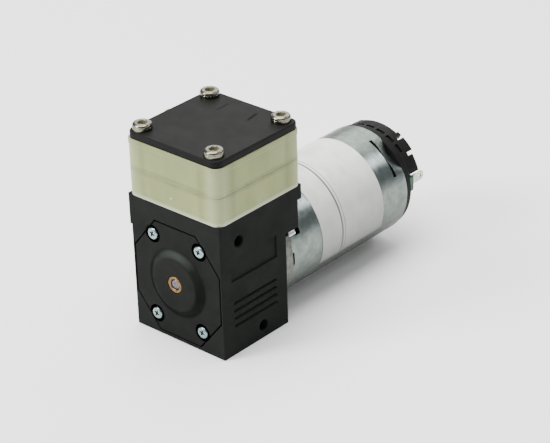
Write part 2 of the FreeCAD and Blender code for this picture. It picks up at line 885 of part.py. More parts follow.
def motor_screws():
    solids = []
    for side in (-1, 1):
        x = side * motor_screw_offset
        top = chamber_back_y - motor_screw_head_height
        head = cylinder_y(motor_screw_head_radius, top, chamber_back_y, x)
        head = head.makeFillet(0.5, [e for e in head.Edges if is_at_y(e, top)])
        shank = cylinder_y(motor_screw_radius, chamber_back_y - 0.1, chamber_back_y + motor_screw_length, x)
        recess = hex_prism(1.5, Vector(x, top - 0.1, axis_height), (0, 1, 0), 0.9)
        solids.append(join([head, shank]).cut(recess))
    return Part.makeCompound(solids)


# Motor can with its crimps, slits and the two pinched strips that lock the end cap
def strip_rail(radius, centre_angle, dip, y):
    reach = lance_half + 1.0
    steps = 12
    points = []
    for step in range(steps + 1):
        offset = reach * (2 * step / steps - 1)
        bend = math.cos(math.pi * offset / (2 * lance_half)) ** 2 if abs(offset) < lance_half else 0.0
        points.append(polar(radius - dip * bend, centre_angle + offset, y))
    curve = Part.BSplineCurve()
    curve.interpolate(points)
    return curve.toShape(), points[0], points[-1]


def strip_section(centre_angle, dip, y):
    outer, outer_first, outer_last = strip_rail(can_radius - lance_thinning, centre_angle, dip, y)
    inner, inner_first, inner_last = strip_rail(can_inner + lance_thinning, centre_angle, dip, y)
    return Part.Wire([
        outer, Part.makeLine(outer_last, inner_last), inner, Part.makeLine(inner_first, outer_first),
    ])


def pinched_strip(centre_angle):
    # Bent in a little along its slot and fully at the rim.
    front = strip_section(centre_angle, lance_front_dip, can_rear_y - lance_strip)
    rear = strip_section(centre_angle, lance_dip, can_rear_y)
    return Part.makeLoft([front, rear], True, True)


def motor_can():
    shell = cylinder_y(can_radius, can_front_y, can_rear_y)
    shell = shell.makeFillet(can_edge, [e for e in shell.Edges if is_at_y(e, can_front_y)])
    can = shell.cut(cylinder_y(can_inner, can_front_y, can_rear_y))
    deep = can_inner - 1
    high = can_radius + 1
    strip_start = can_rear_y - lance_strip
    strips = []
    for angle in (lance_angle, lance_angle + 180):
        tool = arc_block(deep, high, angle - lance_half, angle + lance_half, strip_start - lance_width, can_rear_y + 1)
        can = can.cut(tool)
        strips.append(pinched_strip(angle))
    can = join([can] + strips)
    for step in range(crimp_count):
        turn = 360 * step / crimp_count
        window = crimp_angle + turn
        window_y = can_front_y + crimp_window_start
        can = can.cut(arc_block(deep, high, window - crimp_window_half, window + crimp_window_half,
                                window_y, window_y + crimp_window_length))
        slit = slit_angle + turn
        can = can.cut(arc_block(deep, high, slit - slit_half, slit + slit_half,
                                can_front_y - 1, can_front_y + slit_width))
        tongue = crimp_tongue_angle + turn
        can = can.fuse(arc_block(can_inner + 0.1, can_radius + crimp_tongue_rise, tongue - crimp_tongue_half,
                                 tongue + crimp_tongue_half, can_front_y + 0.3, window_y))
    return can.removeSplitter()


def magnets():
    start = can_front_y + magnet_start
    outer = can_inner - seat_gap
    half = magnet_half_angle
    return Part.makeCompound([
        arc_block(outer - magnet_wall, outer, middle - half, middle + half, start, start + magnet_length)
        for middle in (0, 180)
    ])


def magnet_springs():
    start = can_front_y + magnet_start + 2
    outer = can_inner - seat_gap
    half = 90 - magnet_half_angle - 0.2
    return Part.makeCompound([
        arc_block(outer - clip_strip_wall, outer, middle - half, middle + half, start, start + magnet_length - 4)
        for middle in (90, 270)
    ])


def motor_label():
    inner = can_radius + label_gap
    start = can_front_y + label_start
    return arc_block(inner, inner + label_thickness, label_from_angle, label_to_angle, start, start + label_length)


# Armature
def motor_shaft():
    end = boss_back_y - 0.5
    shaft = cylinder_y(shaft_radius, shaft_front_y, end)
    return shaft.makeChamfer(0.25, [e for e in shaft.Edges if is_at_y(e, shaft_front_y) or is_at_y(e, end)])


def turned_copy(shape, angle):
    copy = shape.copy()
    copy.rotate(Vector(0, 0, axis_height), Vector(0, 1, 0), -angle)
    return copy


def armature_core():
    start = can_front_y + core_start
    end = start + core_length
    web = block(0, core_radius - tip_wall / 2, start, end, axis_height - tooth_width / 2, axis_height + tooth_width / 2)
    tip = arc_block(core_radius - tip_wall, core_radius, -tip_half_angle, tip_half_angle, start, end)
    shapes = [cylinder_y(hub_radius, start, end)]
    for step in range(slot_count):
        angle = 90 + 360 * step / slot_count
        shapes += [turned_copy(web, angle), turned_copy(tip, angle)]
    return join(shapes).cut(cylinder_y(shaft_radius + seat_gap, start, end))


def armature_windings():
    start = can_front_y + core_start
    end = start + core_length
    inner = hub_radius + 0.4
    shapes = []
    for near, far in ((start - end_turn_length, start - 0.1), (end + 0.1, end + end_turn_length)):
        ring = ring_y(winding_outer, inner, near, far)
        shapes.append(ring.makeChamfer(1.2, ring.Edges))
    for step in range(slot_count):
        angle = 90 + 360 * (step + 0.5) / slot_count
        shapes.append(arc_block(inner + 0.3, winding_outer - 0.2, angle - winding_half_angle,
                                angle + winding_half_angle, start - 2, end + 2))
    return join(shapes)


def commutator():
    start = can_front_y + commutator_start
    body = ring_y(commutator_radius, shaft_radius + seat_gap, start, start + commutator_length)
    for step in range(slot_count):
        slot = block(commutator_radius - 0.6, commutator_radius + 1, start - 1, start + commutator_length + 1,
                     axis_height - commutator_slot / 2, axis_height + commutator_slot / 2)
        body = body.cut(turned_copy(slot, 90 + 360 * (step + 0.5) / slot_count))
    return body


def thrust_washers():
    bore = shaft_radius + seat_gap
    front = rear_y - motor_spigot_length + motor_bush_length + 0.1
    rear = boss_back_y - rear_bush_length - washer_thickness - 0.1
    return Part.makeCompound([
        ring_y(washer_radius, bore, start, start + washer_thickness) for start in (front, rear)
    ])


# End cap and brush gear
def end_cap():
    flange = cylinder_y(cap_flange_radius, can_rear_y, cap_back_y)
    flange = flange.makeFillet(cap_edge, [e for e in flange.Edges if is_at_y(e, cap_back_y)])
    spigot = cylinder_y(can_inner - socket_clearance, cap_front_y, can_rear_y + 0.5)
    boss = cylinder_y(cap_boss_radius, cap_front_y, boss_back_y)
    shapes = [flange, spigot, boss]
    wall_top = cap_back_y + wall_height
    low = cap_back_y - 0.5
    # Castellations of the rim: start angle, end angle, height above or below the plain rim.
    rim = [
        (wall_start_angle, 35.7, 0.0), (35.7, 39.8, -1.8), (39.8, 56.0, 0.7),
        (56.0, 59.8, -1.6), (59.8, 64.5, 0.8), (64.5, 90.0, 0.0),
    ]
    for start, end, step in rim:
        for first, last in ((start, end), (180 - end, 180 - start)):
            piece = arc_block(wall_inner, wall_outer, first, last, low, wall_top + step)
            rims = [e for e in piece.Edges if is_at_y(e, wall_top + step) and e.Curve.TypeId == "Part::GeomCircle"]
            shapes.append(piece.makeChamfer(cap_edge / 2, rims))
    tools = []
    for step in range(rim_pocket_count):
        # Small pockets between ribs, just behind the flange.
        middle = 90 + rim_pocket_pitch * (step - (rim_pocket_count - 1) / 2)
        tools.append(arc_block(wall_outer - rim_pocket_depth, wall_outer + 1, middle - rim_pocket_half,
                               middle + rim_pocket_half, cap_back_y, cap_back_y + rim_pocket_length))
    for angle in (lance_angle, lance_angle + 180):
        # Pocket that the pinched strip of the can bends into.
        tools.append(arc_block(cap_pocket_radius, can_inner + 1, angle - lance_half - 1, angle + lance_half + 1,
                               can_rear_y - lance_strip - lance_width, can_rear_y))
    recess = cylinder_y(cap_recess_radius, cap_front_y - 1, cap_front_y + cap_recess_depth)
    tools.append(recess.cut(cylinder_y(cap_boss_radius, cap_front_y - 1, cap_front_y + cap_recess_depth)))
    bush = motor_bush_radius + seat_gap
    tools.append(cylinder_y(bush, boss_back_y - rear_bush_length, boss_back_y + 1))
    tools.append(cylinder_y(washer_radius + 0.3, cap_front_y - 1, boss_back_y - rear_bush_length))
    for side in (-1, 1):
        tools.append(terminal_slot(side, cap_front_y - 1, cap_back_y + 1))
    cap = remove(join(shapes), tools)
    return join([cap] + [brush_post(side) for side in (-1, 1)])


def terminal_slot(side, y0, y1):
    x = side * terminal_offset
    z = axis_height + terminal_rise
    half = terminal_thickness / 2 + seat_gap
    tall = terminal_width / 2 + seat_gap
    return block(x - half, x + half, y0, y1, z - tall, z + tall)


def brush_y():
    start = can_front_y + commutator_start + (commutator_length - brush_width) / 2
    return start, start + brush_width


def brush_post(side):
    # The two posts are turned half a turn from each other, clear of the pockets.
    start, end = brush_y()
    x0, x1 = sorted((side * post_offset, side * (post_offset + post_size / 2)))
    z0, z1 = sorted((-side * post_rise, -side * (post_rise + post_size)))
    return block(x0, x1, start, cap_front_y + 0.5, axis_height + z0, axis_height + z1)


def terminals():
    solids = []
    for side in (-1, 1):
        x = side * terminal_offset
        z = axis_height + terminal_rise
        start = cap_back_y - terminal_tail
        end = cap_back_y + terminal_length
        blade = block(x - terminal_thickness / 2, x + terminal_thickness / 2, start, end,
                      z - terminal_width / 2, z + terminal_width / 2)
        tips = [e for e in edges_along(blade, Vector(1, 0, 0)) if is_at_y(e, end)]
        blade = blade.makeChamfer(0.7, tips)
        hole = cylinder_x(terminal_hole_radius, x - 1, x + 1, end - 1.7, z)
        solids.append(blade.cut(hole))
    return Part.makeCompound(solids)


def suppressor_board():
    low = cap_back_y + board_gap
    high = low + board_thickness
    disc = cylinder_y(board_radius, low, high)
    upper = block(-wall_outer, wall_outer, low, high, axis_height + board_bottom, axis_height + wall_outer)
    tabs = block(-board_reach, board_reach, low, high, axis_height + board_bottom, axis_height + board_tab_top)
    board = join([disc.common(upper), tabs])
    tools = [cylinder_y(cap_boss_radius + 0.3, low - 1, high + 1)]
    tools += [terminal_slot(side, low - 1, high + 1) for side in (-1, 1)]
    return remove(board, tools)


def suppressor_capacitor():
    low = cap_back_y + board_gap + board_thickness
    z = axis_height + 9.2
    chip = block(-1.6, 1.6, low, low + 1.2, z - 0.8, z + 0.8)
    return chip.makeFillet(0.15, edges_along(chip, Vector(0, 1, 0)))


def rear_bush():
    start = boss_back_y - rear_bush_length
    bush = ring_y(motor_bush_radius, shaft_radius + running_gap, start, boss_back_y)
    return bush.makeChamfer(0.2, [e for e in bush.Edges if is_at_y(e, boss_back_y)])


def brushes():
    start, end = brush_y()
    solids = []
    for side in (-1, 1):
        x0, x1 = sorted((side * (commutator_radius - 1), side * (commutator_radius + brush_reach)))
        brush = block(x0, x1, start, end, axis_height - brush_width / 2, axis_height + brush_width / 2)
        solids.append(brush.cut(cylinder_y(commutator_radius + brush_gap, start - 1, end + 1)))
    return Part.makeCompound(solids)


def brush_arms():
    # Leaf springs from the posts of the end cap to the backs of the brushes.
    start, end = brush_y()
    solids = []
    for side in (-1, 1):
        near = commutator_radius + brush_reach
        foot = post_rise + 0.2
        tip = foot + post_size - 0.4
        points = [
            (near, -1.4), (near + arm_thickness, -1.4), (near + arm_thickness, 1.5),
            (post_offset, foot), (post_offset, tip), (post_offset - arm_thickness, tip),
            (post_offset - arm_thickness, foot + 0.2), (near, 1.6),
        ]
        closed = points + [points[0]]
        wire = Part.makePolygon([Vector(side * x, start, axis_height - side * z) for x, z in closed])
        solids.append(Part.Face(wire).extrude(Vector(0, end - start, 0)))
    return Part.makeCompound(solids)


def build():
    inlet_y, outlet_y = valve_places
    nodes = {
        "housing": housing(),
        "threaded_inserts": threaded_inserts(),
        "front_cover": front_cover(),
        "cover_screws": cover_screws(),
        "front_bush": front_bush(),
        "head_lower": head_lower(),
        "head_upper": head_upper(),
        "top_plate": top_plate(),
        "head_screws": head_screws(),
        "inlet_valve": valve_disc(inlet_y, seam_height - valve_thickness - valve_lift),
        "outlet_valve": valve_disc(outlet_y, seam_height),
        "valve_seals": valve_seals(),
        "diaphragm": diaphragm(),
        "diaphragm_insert": diaphragm_insert(),
        "connecting_rod": connecting_rod(),
        "bearing_inner_ring": bearing_inner_ring(),
        "bearing_outer_ring": bearing_outer_ring(),
        "bearing_balls": bearing_balls(),
        "bearing_cage": bearing_cage(),
        "eccentric": eccentric(),
        "eccentric_set_screw": eccentric_set_screw(),
        "bearing_clip": bearing_clip(),
        "motor_front_plate": motor_front_plate(),
        "motor_front_bush": motor_front_bush(),
        "motor_screws": motor_screws(),
        "motor_can": motor_can(),
        "magnets": magnets(),
        "magnet_springs": magnet_springs(),
        "motor_label": motor_label(),
        "motor_shaft": motor_shaft(),
        "armature_core": armature_core(),
        "armature_windings": armature_windings(),
        "commutator": commutator(),
        "thrust_washers": thrust_washers(),
        "end_cap": end_cap(),
        "rear_bush": rear_bush(),
        "brushes": brushes(),
        "brush_arms": brush_arms(),
        "terminals": terminals(),
        "suppressor_board": suppressor_board(),
        "suppressor_capacitor": suppressor_capacitor(),
    }
    for name, shape in nodes.items():
        save(name, shape)
        print(name, len(shape.Solids), "solids, valid", shape.isValid(), "volume", round(shape.Volume, 2))


build()
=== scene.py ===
import json
import math

import bpy
from mathutils import Euler, Matrix, Vector


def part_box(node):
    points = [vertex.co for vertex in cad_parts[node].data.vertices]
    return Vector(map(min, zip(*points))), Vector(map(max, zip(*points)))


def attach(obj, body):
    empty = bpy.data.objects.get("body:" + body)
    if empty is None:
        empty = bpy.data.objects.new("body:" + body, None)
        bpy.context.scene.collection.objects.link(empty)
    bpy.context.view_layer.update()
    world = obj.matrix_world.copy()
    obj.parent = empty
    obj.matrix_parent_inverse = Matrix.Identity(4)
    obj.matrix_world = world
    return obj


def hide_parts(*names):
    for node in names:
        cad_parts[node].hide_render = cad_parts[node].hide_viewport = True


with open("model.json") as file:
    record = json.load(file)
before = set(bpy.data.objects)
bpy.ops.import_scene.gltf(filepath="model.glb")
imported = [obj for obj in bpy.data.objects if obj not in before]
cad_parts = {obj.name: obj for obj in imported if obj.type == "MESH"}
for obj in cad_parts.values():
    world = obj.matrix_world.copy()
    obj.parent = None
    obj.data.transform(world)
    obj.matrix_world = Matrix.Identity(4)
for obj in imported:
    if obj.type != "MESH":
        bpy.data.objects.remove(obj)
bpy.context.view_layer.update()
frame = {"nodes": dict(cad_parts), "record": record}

nodes = frame["nodes"]
mm = 0.001
print("frame loaded:", len(nodes), "pieces")


# Camera, floor and light
view = {
    "place": (353.069, -363.890, 303.487),   # mm
    "turn": (61.754, 1.574, 41.241),         # degrees
    "lens": 137.88,
}
studio = {
    "floorSize": 12.0,                       # m
    "floorColour": (0.95, 0.95, 0.95), "floorRough": 0.9, "floorSpecular": 0.1,
    "skyColour": (1.0, 1.0, 1.0), "skyStrength": 0.42,
    "target": (0, 0.02, 0.03),               # m, what the lamps point at
}
lamps = {   # power, diameter and place; metres
    "key": (22.0, 0.55, (-0.55, -0.95, 0.75)),
    "side": (1.2, 0.6, (1.0, 0.25, 0.5)),
    "top": (19.0, 0.9, (-0.1, -0.05, 0.98)),
    "back": (15.5, 1.5, (-0.55, 1.1, 0.95)),
    "rim": (2.6, 0.36, (0.6, 1.0, 0.95)),
}


def addLamp(name, power, size, place):
    lampData = bpy.data.lights.new(name, "AREA")
    lampData.shape = "DISK"
    lampData.size = size
    lampData.energy = power
    lamp = bpy.data.objects.new(name, lampData)
    lamp.location = place
    sight = Vector(studio["target"]) - Vector(place)
    lamp.rotation_euler = sight.to_track_quat("-Z", "Y").to_euler()
    bpy.context.scene.collection.objects.link(lamp)


def addCamera():
    cameraData = bpy.data.cameras.new("camera")
    cameraData.lens = view["lens"]
    camera = bpy.data.objects.new("camera", cameraData)
    camera.location = Vector(view["place"]) * mm
    camera.rotation_euler = Euler([math.radians(turn) for turn in view["turn"]])
    bpy.context.scene.collection.objects.link(camera)
    bpy.context.scene.camera = camera


def addFloor():
    bpy.ops.mesh.primitive_plane_add(size=studio["floorSize"])
    floor = bpy.context.object
    floor.name = "floor"
    paper = bpy.data.materials.new("floorPaper")
    paper.use_nodes = True
    shader = paper.node_tree.nodes["Principled BSDF"]
    shader.inputs["Base Color"].default_value = (*studio["floorColour"], 1)
    shader.inputs["Roughness"].default_value = studio["floorRough"]
    shader.inputs["Specular IOR Level"].default_value = studio["floorSpecular"]
    floor.data.materials.append(paper)


def setUpStudio():
    addCamera()
    for name, (power, size, place) in lamps.items():
        addLamp(name + "Lamp", power, size, place)
    world = bpy.data.worlds.new("sky")
    world.use_nodes = True
    sky = world.node_tree.nodes["Background"]
    sky.inputs["Color"].default_value = (*studio["skyColour"], 1)
    sky.inputs["Strength"].default_value = studio["skyStrength"]
    bpy.context.scene.world = world
    addFloor()


# Shader helpers; sizes and places are in mm
def addNode(tree, kind, **settings):
    node = tree.nodes.new("ShaderNode" + kind)
    for key, value in settings.items():
        setattr(node, key, value)
    return node


def give(tree, socket, value):
    if isinstance(value, bpy.types.NodeSocket):
        tree.links.new(value, socket)
    else:
        socket.default_value = value


def placeInMm(tree, pull=(1, 1, 1)):
    coords = addNode(tree, "TexCoord")
    mapping = addNode(tree, "Mapping")
    mapping.inputs["Scale"].default_value = [1 / (mm * part) for part in pull]
    tree.links.new(coords.outputs["Object"], mapping.inputs["Vector"])
    return mapping.outputs["Vector"]


def splitPlace(tree):
    # The place as three values, named X, Y and Z.
    split = addNode(tree, "SeparateXYZ")
    tree.links.new(placeInMm(tree), split.inputs["Vector"])
    return split.outputs


def noise(tree, size, detail=2.0, pull=(1, 1, 1)):
    pattern = addNode(tree, "TexNoise")
    pattern.inputs["Scale"].default_value = 1 / size
    pattern.inputs["Detail"].default_value = detail
    tree.links.new(placeInMm(tree, pull), pattern.inputs["Vector"])
    return pattern.outputs["Fac"]


def spread(tree, value, fromLow, fromHigh, toLow=0.0, toHigh=1.0):
    ranged = addNode(tree, "MapRange")
    ranged.inputs["From Min"].default_value = fromLow
    ranged.inputs["From Max"].default_value = fromHigh
    ranged.inputs["To Min"].default_value = toLow
    ranged.inputs["To Max"].default_value = toHigh
    tree.links.new(value, ranged.inputs["Value"])
    return ranged.outputs["Result"]


def maths(tree, operation, first, second=0.0):
    step = addNode(tree, "Math", operation=operation)
    give(tree, step.inputs[0], first)
    give(tree, step.inputs[1], second)
    return step.outputs["Value"]


def plus(tree, first, second):
    return maths(tree, "ADD", first, second)


def minus(tree, first, second):
    return maths(tree, "SUBTRACT", first, second)


def times(tree, first, second):
    return maths(tree, "MULTIPLY", first, second)


def awayFrom(tree, value, middle):
    return maths(tree, "ABSOLUTE", minus(tree, value, middle))


def distance(tree, across, up):
    return maths(tree, "SQRT", plus(tree, times(tree, across, across), times(tree, up, up)))


def hump(tree, value, middle, reach):
    # 1 where value is middle, falling softly to 0 at reach from it
    share = spread(tree, awayFrom(tree, value, middle), 0.0, reach, 1.0, 0.0)
    return times(tree, share, minus(tree, 2.0, share))


def mixed(tree, share, first, second):
    mix = addNode(tree, "Mix", data_type="RGBA")
    tree.links.new(share, mix.inputs[0])
    for socket, colour in ((mix.inputs[6], first), (mix.inputs[7], second)):
        give(tree, socket, colour if isinstance(colour, bpy.types.NodeSocket) else (*colour, 1))
    return mix.outputs[2]


def tinted(tree, colour, share, tint):
    # tint is the strength and the colour of what is laid over.
    strength, shade = tint
    return mixed(tree, times(tree, share, strength), colour, shade)


def raised(tree, height, depth, under=None):
    bump = addNode(tree, "Bump")
    bump.inputs["Strength"].default_value = 1.0
    bump.inputs["Distance"].default_value = depth * mm
    tree.links.new(height, bump.inputs["Height"])
    if under:
        tree.links.new(under, bump.inputs["Normal"])
    return bump.outputs["Normal"]


shaftLine = (0.0, 18.55)     # x and z of the shaft, mm


def aroundShaft(tree):
    # Distance from the shaft's axis, and the angle round it in degrees from +X
    place = splitPlace(tree)
    across = minus(tree, place["X"], shaftLine[0])
    up = minus(tree, place["Z"], shaftLine[1])
    angle = times(tree, maths(tree, "ARCTAN2", up, across), math.degrees(1))
    return distance(tree, across, up), angle


# Finishes. shade: two colours that drift into each other over patch mm; rough: lowest and highest
# roughness; grain and dent: size and depth of the fine and the coarse relief; edge: radius, colour
# and strength of the worn edges; pull: how far the grain is drawn out along x, y and z.
plasticGrain = {"grain": (0.16, 0.010), "dent": (2.4, 0.007)}
finishes = {
    "body_plastic": dict(
        plasticGrain, shade=((0.0096, 0.0110, 0.0100), (0.0133, 0.0146, 0.0133)), patch=7,
        rough=(0.46, 0.60), specular=0.018, edge=(0.20, (0.035, 0.038, 0.035), 0.5)),
    "cover_plastic": dict(
        plasticGrain, shade=((0.0060, 0.0069, 0.0061), (0.0086, 0.0094, 0.0083)), patch=6,
        rough=(0.40, 0.54), specular=0.036, edge=(0.16, (0.03, 0.032, 0.03), 0.2)),
    "cap_plastic": dict(
        plasticGrain, shade=((0.0055, 0.0062, 0.0058), (0.0095, 0.0100, 0.0092)), patch=4,
        rough=(0.38, 0.55), specular=0.065, edge=(0.18, (0.045, 0.046, 0.044), 0.5)),
    "head_plastic": dict(
        shade=((0.180, 0.212, 0.062), (0.231, 0.263, 0.086)), patch=9, rough=(0.32, 0.46),
        specular=0.40, grain=(0.25, 0.006), dent=(5.0, 0.02),
        edge=(0.35, (0.32, 0.35, 0.20), 0.5), subsurface=0.35, scatter=(2.6, 2.7, 1.5)),
    "plate_black": dict(
        shade=((0.0068, 0.0071, 0.0067), (0.0086, 0.0089, 0.0083)), patch=11, rough=(0.49, 0.55),
        specular=0.065, grain=(0.10, 0.006), edge=(0.12, (0.02, 0.02, 0.019), 0.3)),
    "zinc_steel": dict(
        shade=((0.34, 0.35, 0.35), (0.50, 0.51, 0.50)), patch=1.4, rough=(0.20, 0.32),
        metal=1.0, grain=(0.12, 0.0012), dent=(0.9, 0.003), edge=(0.12, (0.8, 0.8, 0.78), 0.6)),
    "nickelScrew": dict(
        shade=((0.118, 0.116, 0.084), (0.225, 0.222, 0.170)), patch=1.2, rough=(0.18, 0.28),
        metal=1.0, grain=(0.10, 0.002), dent=(0.9, 0.003), edge=(0.14, (0.60, 0.585, 0.48), 0.6)),
    "blueZincScrew": dict(
        shade=((0.14, 0.200, 0.205), (0.30, 0.385, 0.39)), patch=0.8, rough=(0.20, 0.32),
        metal=1.0, grain=(0.10, 0.0015), dent=(0.8, 0.008), edge=(0.12, (0.60, 0.68, 0.68), 0.6)),
    # The can's steel made much paler for the tabs: painted light where they catch it
    "tabZincLit": dict(
        shade=((0.56, 0.59, 0.58), (0.80, 0.82, 0.81)), patch=0.8, rough=(0.24, 0.36),
        metal=1.0, grain=(0.10, 0.0015), dent=(0.8, 0.006), edge=(0.12, (0.85, 0.86, 0.85), 0.6)),
    "bronze": dict(
        shade=((0.12, 0.056, 0.011), (0.29, 0.150, 0.036)), patch=0.6, rough=(0.30, 0.5),
        metal=1.0, grain=(0.07, 0.012), dent=(0.5, 0.01), edge=(0.10, (0.48, 0.28, 0.09), 0.7)),
    "shaft_steel": dict(
        shade=((0.055, 0.048, 0.055), (0.17, 0.155, 0.155)), patch=0.6, rough=(0.18, 0.32),
        metal=1.0, grain=(0.06, 0.003), pull=(1, 14, 1), edge=(0.1, (0.4, 0.37, 0.34), 0.6)),
    "die_cast": dict(
        shade=((0.095, 0.098, 0.088), (0.165, 0.168, 0.152)), patch=2.2, rough=(0.42, 0.6),
        metal=0.9, grain=(0.22, 0.02), dent=(1.5, 0.03), edge=(0.18, (0.36, 0.36, 0.33), 0.6)),
    "can_steel": dict(
        shade=((0.150, 0.181, 0.164), (0.234, 0.268, 0.246)), patch=2.4, rough=(0.28, 0.42),
        metal=1.0, grain=(0.16, 0.004), dent=(3.2, 0.022), scuff=0.12,
        edge=(0.14, (0.55, 0.57, 0.55), 0.6)),
    "foil": dict(
        shade=((0.74, 0.757, 0.70), (0.85, 0.862, 0.80)), patch=6, rough=(0.34, 0.48),
        metal=0.1, grain=(0.35, 0.004), dent=(7.0, 0.03), edge=(0.1, (0.6, 0.6, 0.58), 0.4)),
    "board_green": dict(
        shade=((0.006, 0.038, 0.017), (0.011, 0.065, 0.028)), patch=1.6, rough=(0.28, 0.42),
        specular=0.35, grain=(0.3, 0.01), edge=(0.12, (0.16, 0.18, 0.09), 0.6)),
    "tinned": dict(
        shade=((0.42, 0.405, 0.345), (0.62, 0.60, 0.52)), patch=0.8, rough=(0.26, 0.44),
        metal=1.0, grain=(0.10, 0.006), dent=(0.7, 0.02), edge=(0.1, (0.74, 0.72, 0.64), 0.6)),
    "elastomer": dict(
        shade=((0.012, 0.012, 0.012), (0.020, 0.020, 0.019)), patch=3, rough=(0.55, 0.75),
        specular=0.3, grain=(0.2, 0.015), edge=(0.15, (0.04, 0.04, 0.04), 0.4)),
    "brass_insert": dict(
        shade=((0.50, 0.34, 0.12), (0.70, 0.52, 0.22)), patch=1.0, rough=(0.22, 0.4),
        metal=1.0, grain=(0.08, 0.006), edge=(0.1, (0.85, 0.70, 0.40), 0.6)),
    "rod_plastic": dict(
        shade=((0.44, 0.42, 0.36), (0.55, 0.53, 0.47)), patch=3, rough=(0.40, 0.56),
        specular=0.4, grain=(0.14, 0.014), dent=(2.0, 0.015), edge=(0.25, (0.66, 0.64, 0.58), 0.5)),
    "bearing_steel": dict(
        shade=((0.60, 0.61, 0.62), (0.74, 0.745, 0.75)), patch=1.5, rough=(0.06, 0.16),
        metal=1.0, grain=(0.05, 0.002), edge=(0.1, (0.88, 0.88, 0.88), 0.6)),
    "cage_steel": dict(
        shade=((0.42, 0.42, 0.43), (0.58, 0.58, 0.59)), patch=1.0, rough=(0.24, 0.4),
        metal=1.0, grain=(0.1, 0.005), edge=(0.1, (0.75, 0.75, 0.75), 0.6)),
    "ferrite": dict(
        shade=((0.030, 0.030, 0.033), (0.055, 0.055, 0.06)), patch=2, rough=(0.5, 0.7),
        specular=0.4, grain=(0.12, 0.02), dent=(1.2, 0.02), edge=(0.2, (0.12, 0.12, 0.125), 0.6)),
    "spring_steel": dict(
        shade=((0.28, 0.29, 0.32), (0.44, 0.45, 0.48)), patch=2, rough=(0.2, 0.36),
        metal=1.0, grain=(0.08, 0.004), pull=(1, 1, 6), edge=(0.1, (0.7, 0.7, 0.72), 0.6)),
    "laminations": dict(
        shade=((0.17, 0.17, 0.19), (0.30, 0.30, 0.32)), patch=2.5, rough=(0.3, 0.5),
        metal=1.0, grain=(0.1, 0.006), edge=(0.1, (0.55, 0.55, 0.56), 0.5)),
    "copper": dict(
        shade=((0.42, 0.13, 0.045), (0.68, 0.27, 0.11)), patch=1.3, rough=(0.16, 0.32),
        metal=1.0, grain=(0.1, 0.005), edge=(0.1, (0.82, 0.45, 0.25), 0.5)),
    "graphite": dict(
        shade=((0.020, 0.020, 0.021), (0.038, 0.038, 0.04)), patch=0.8, rough=(0.4, 0.6),
        grain=(0.08, 0.012), edge=(0.1, (0.1, 0.1, 0.1), 0.5)),
    "washer_plastic": dict(
        shade=((0.26, 0.13, 0.06), (0.38, 0.21, 0.10)), patch=1.0, rough=(0.4, 0.6),
        specular=0.4, grain=(0.1, 0.01), edge=(0.1, (0.5, 0.32, 0.18), 0.5)),
    "capacitor": dict(
        shade=((0.26, 0.18, 0.10), (0.38, 0.28, 0.17)), patch=0.6, rough=(0.3, 0.45),
        grain=(0.08, 0.006), edge=(0.08, (0.5, 0.42, 0.3), 0.5)),
}
ageing = {   # what all finishes share: patch sizes in mm, and the range of the noise that shows
    "drift": (0.32, 0.68),
    "polish": (0.3, 0.7), "polishPatch": 0.37,       # share of the finish's own patch
    "rounded": (0.995, 0.86),                        # how far an edge turns the normal
    "worn": (0.35, 0.62), "wornPatch": 1.1, "leastWorn": 0.15,
    "scratches": (0.66, 0.74), "scratchPatch": 0.35, "scratchPull": (9, 1, 1),
}


def edgeShare(tree, rounded):
    # 1 along an edge and 0 away from it
    geometry = addNode(tree, "NewGeometry")
    dot = addNode(tree, "VectorMath", operation="DOT_PRODUCT")
    tree.links.new(rounded, dot.inputs[0])
    tree.links.new(geometry.outputs["Normal"], dot.inputs[1])
    return spread(tree, dot.outputs["Value"], *ageing["rounded"])


def makeFinish(name, look):
    finish = bpy.data.materials.new(name)
    finish.use_nodes = True
    tree = finish.node_tree
    shader = tree.nodes["Principled BSDF"]
    pull = look.get("pull", (1, 1, 1))
    drift = spread(tree, noise(tree, look["patch"], 3.0, pull), *ageing["drift"])
    colour = mixed(tree, drift, *look["shade"])
    polish = noise(tree, look["patch"] * ageing["polishPatch"], 4.0, pull)
    roughness = spread(tree, polish, *ageing["polish"], *look["rough"])
    radius, edgeColour, strength = look["edge"]
    bevel = addNode(tree, "Bevel", samples=4)
    bevel.inputs["Radius"].default_value = radius * mm
    normal = bevel.outputs["Normal"]
    worn = spread(tree, noise(tree, ageing["wornPatch"], 4.0), *ageing["worn"],
                  ageing["leastWorn"] * strength, strength)
    worn = times(tree, edgeShare(tree, normal), worn)
    gloss = {"metal": look.get("metal", 0.0), "specular": look.get("specular", 0.5)}
    if name in extras:
        colour, roughness, normal = extras[name](tree, colour, roughness, normal)
    if name in dulled:
        quality, shareOf = dulled[name]
        gloss[quality] = times(tree, minus(tree, 1.0, shareOf(tree)), gloss[quality])
    colour = mixed(tree, worn, colour, edgeColour)
    if "scuff" in look:
        scratch = noise(tree, ageing["scratchPatch"], 5.0, ageing["scratchPull"])
        marks = spread(tree, scratch, *ageing["scratches"], 0.0, look["scuff"])
        colour = mixed(tree, marks, colour, edgeColour)
    if "dent" in look:
        size, depth = look["dent"]
        normal = raised(tree, noise(tree, size), depth, normal)
    size, depth = look["grain"]
    normal = raised(tree, noise(tree, size, 3.0, pull), depth, normal)
    tree.links.new(colour, shader.inputs["Base Color"])
    tree.links.new(roughness, shader.inputs["Roughness"])
    tree.links.new(normal, shader.inputs["Normal"])
    give(tree, shader.inputs["Metallic"], gloss["metal"])
    give(tree, shader.inputs["Specular IOR Level"], gloss["specular"])
    if "subsurface" in look:
        shader.inputs["Subsurface Weight"].default_value = look["subsurface"]
        shader.inputs["Subsurface Radius"].default_value = look["scatter"]
        shader.inputs["Subsurface Scale"].default_value = mm
    return finish


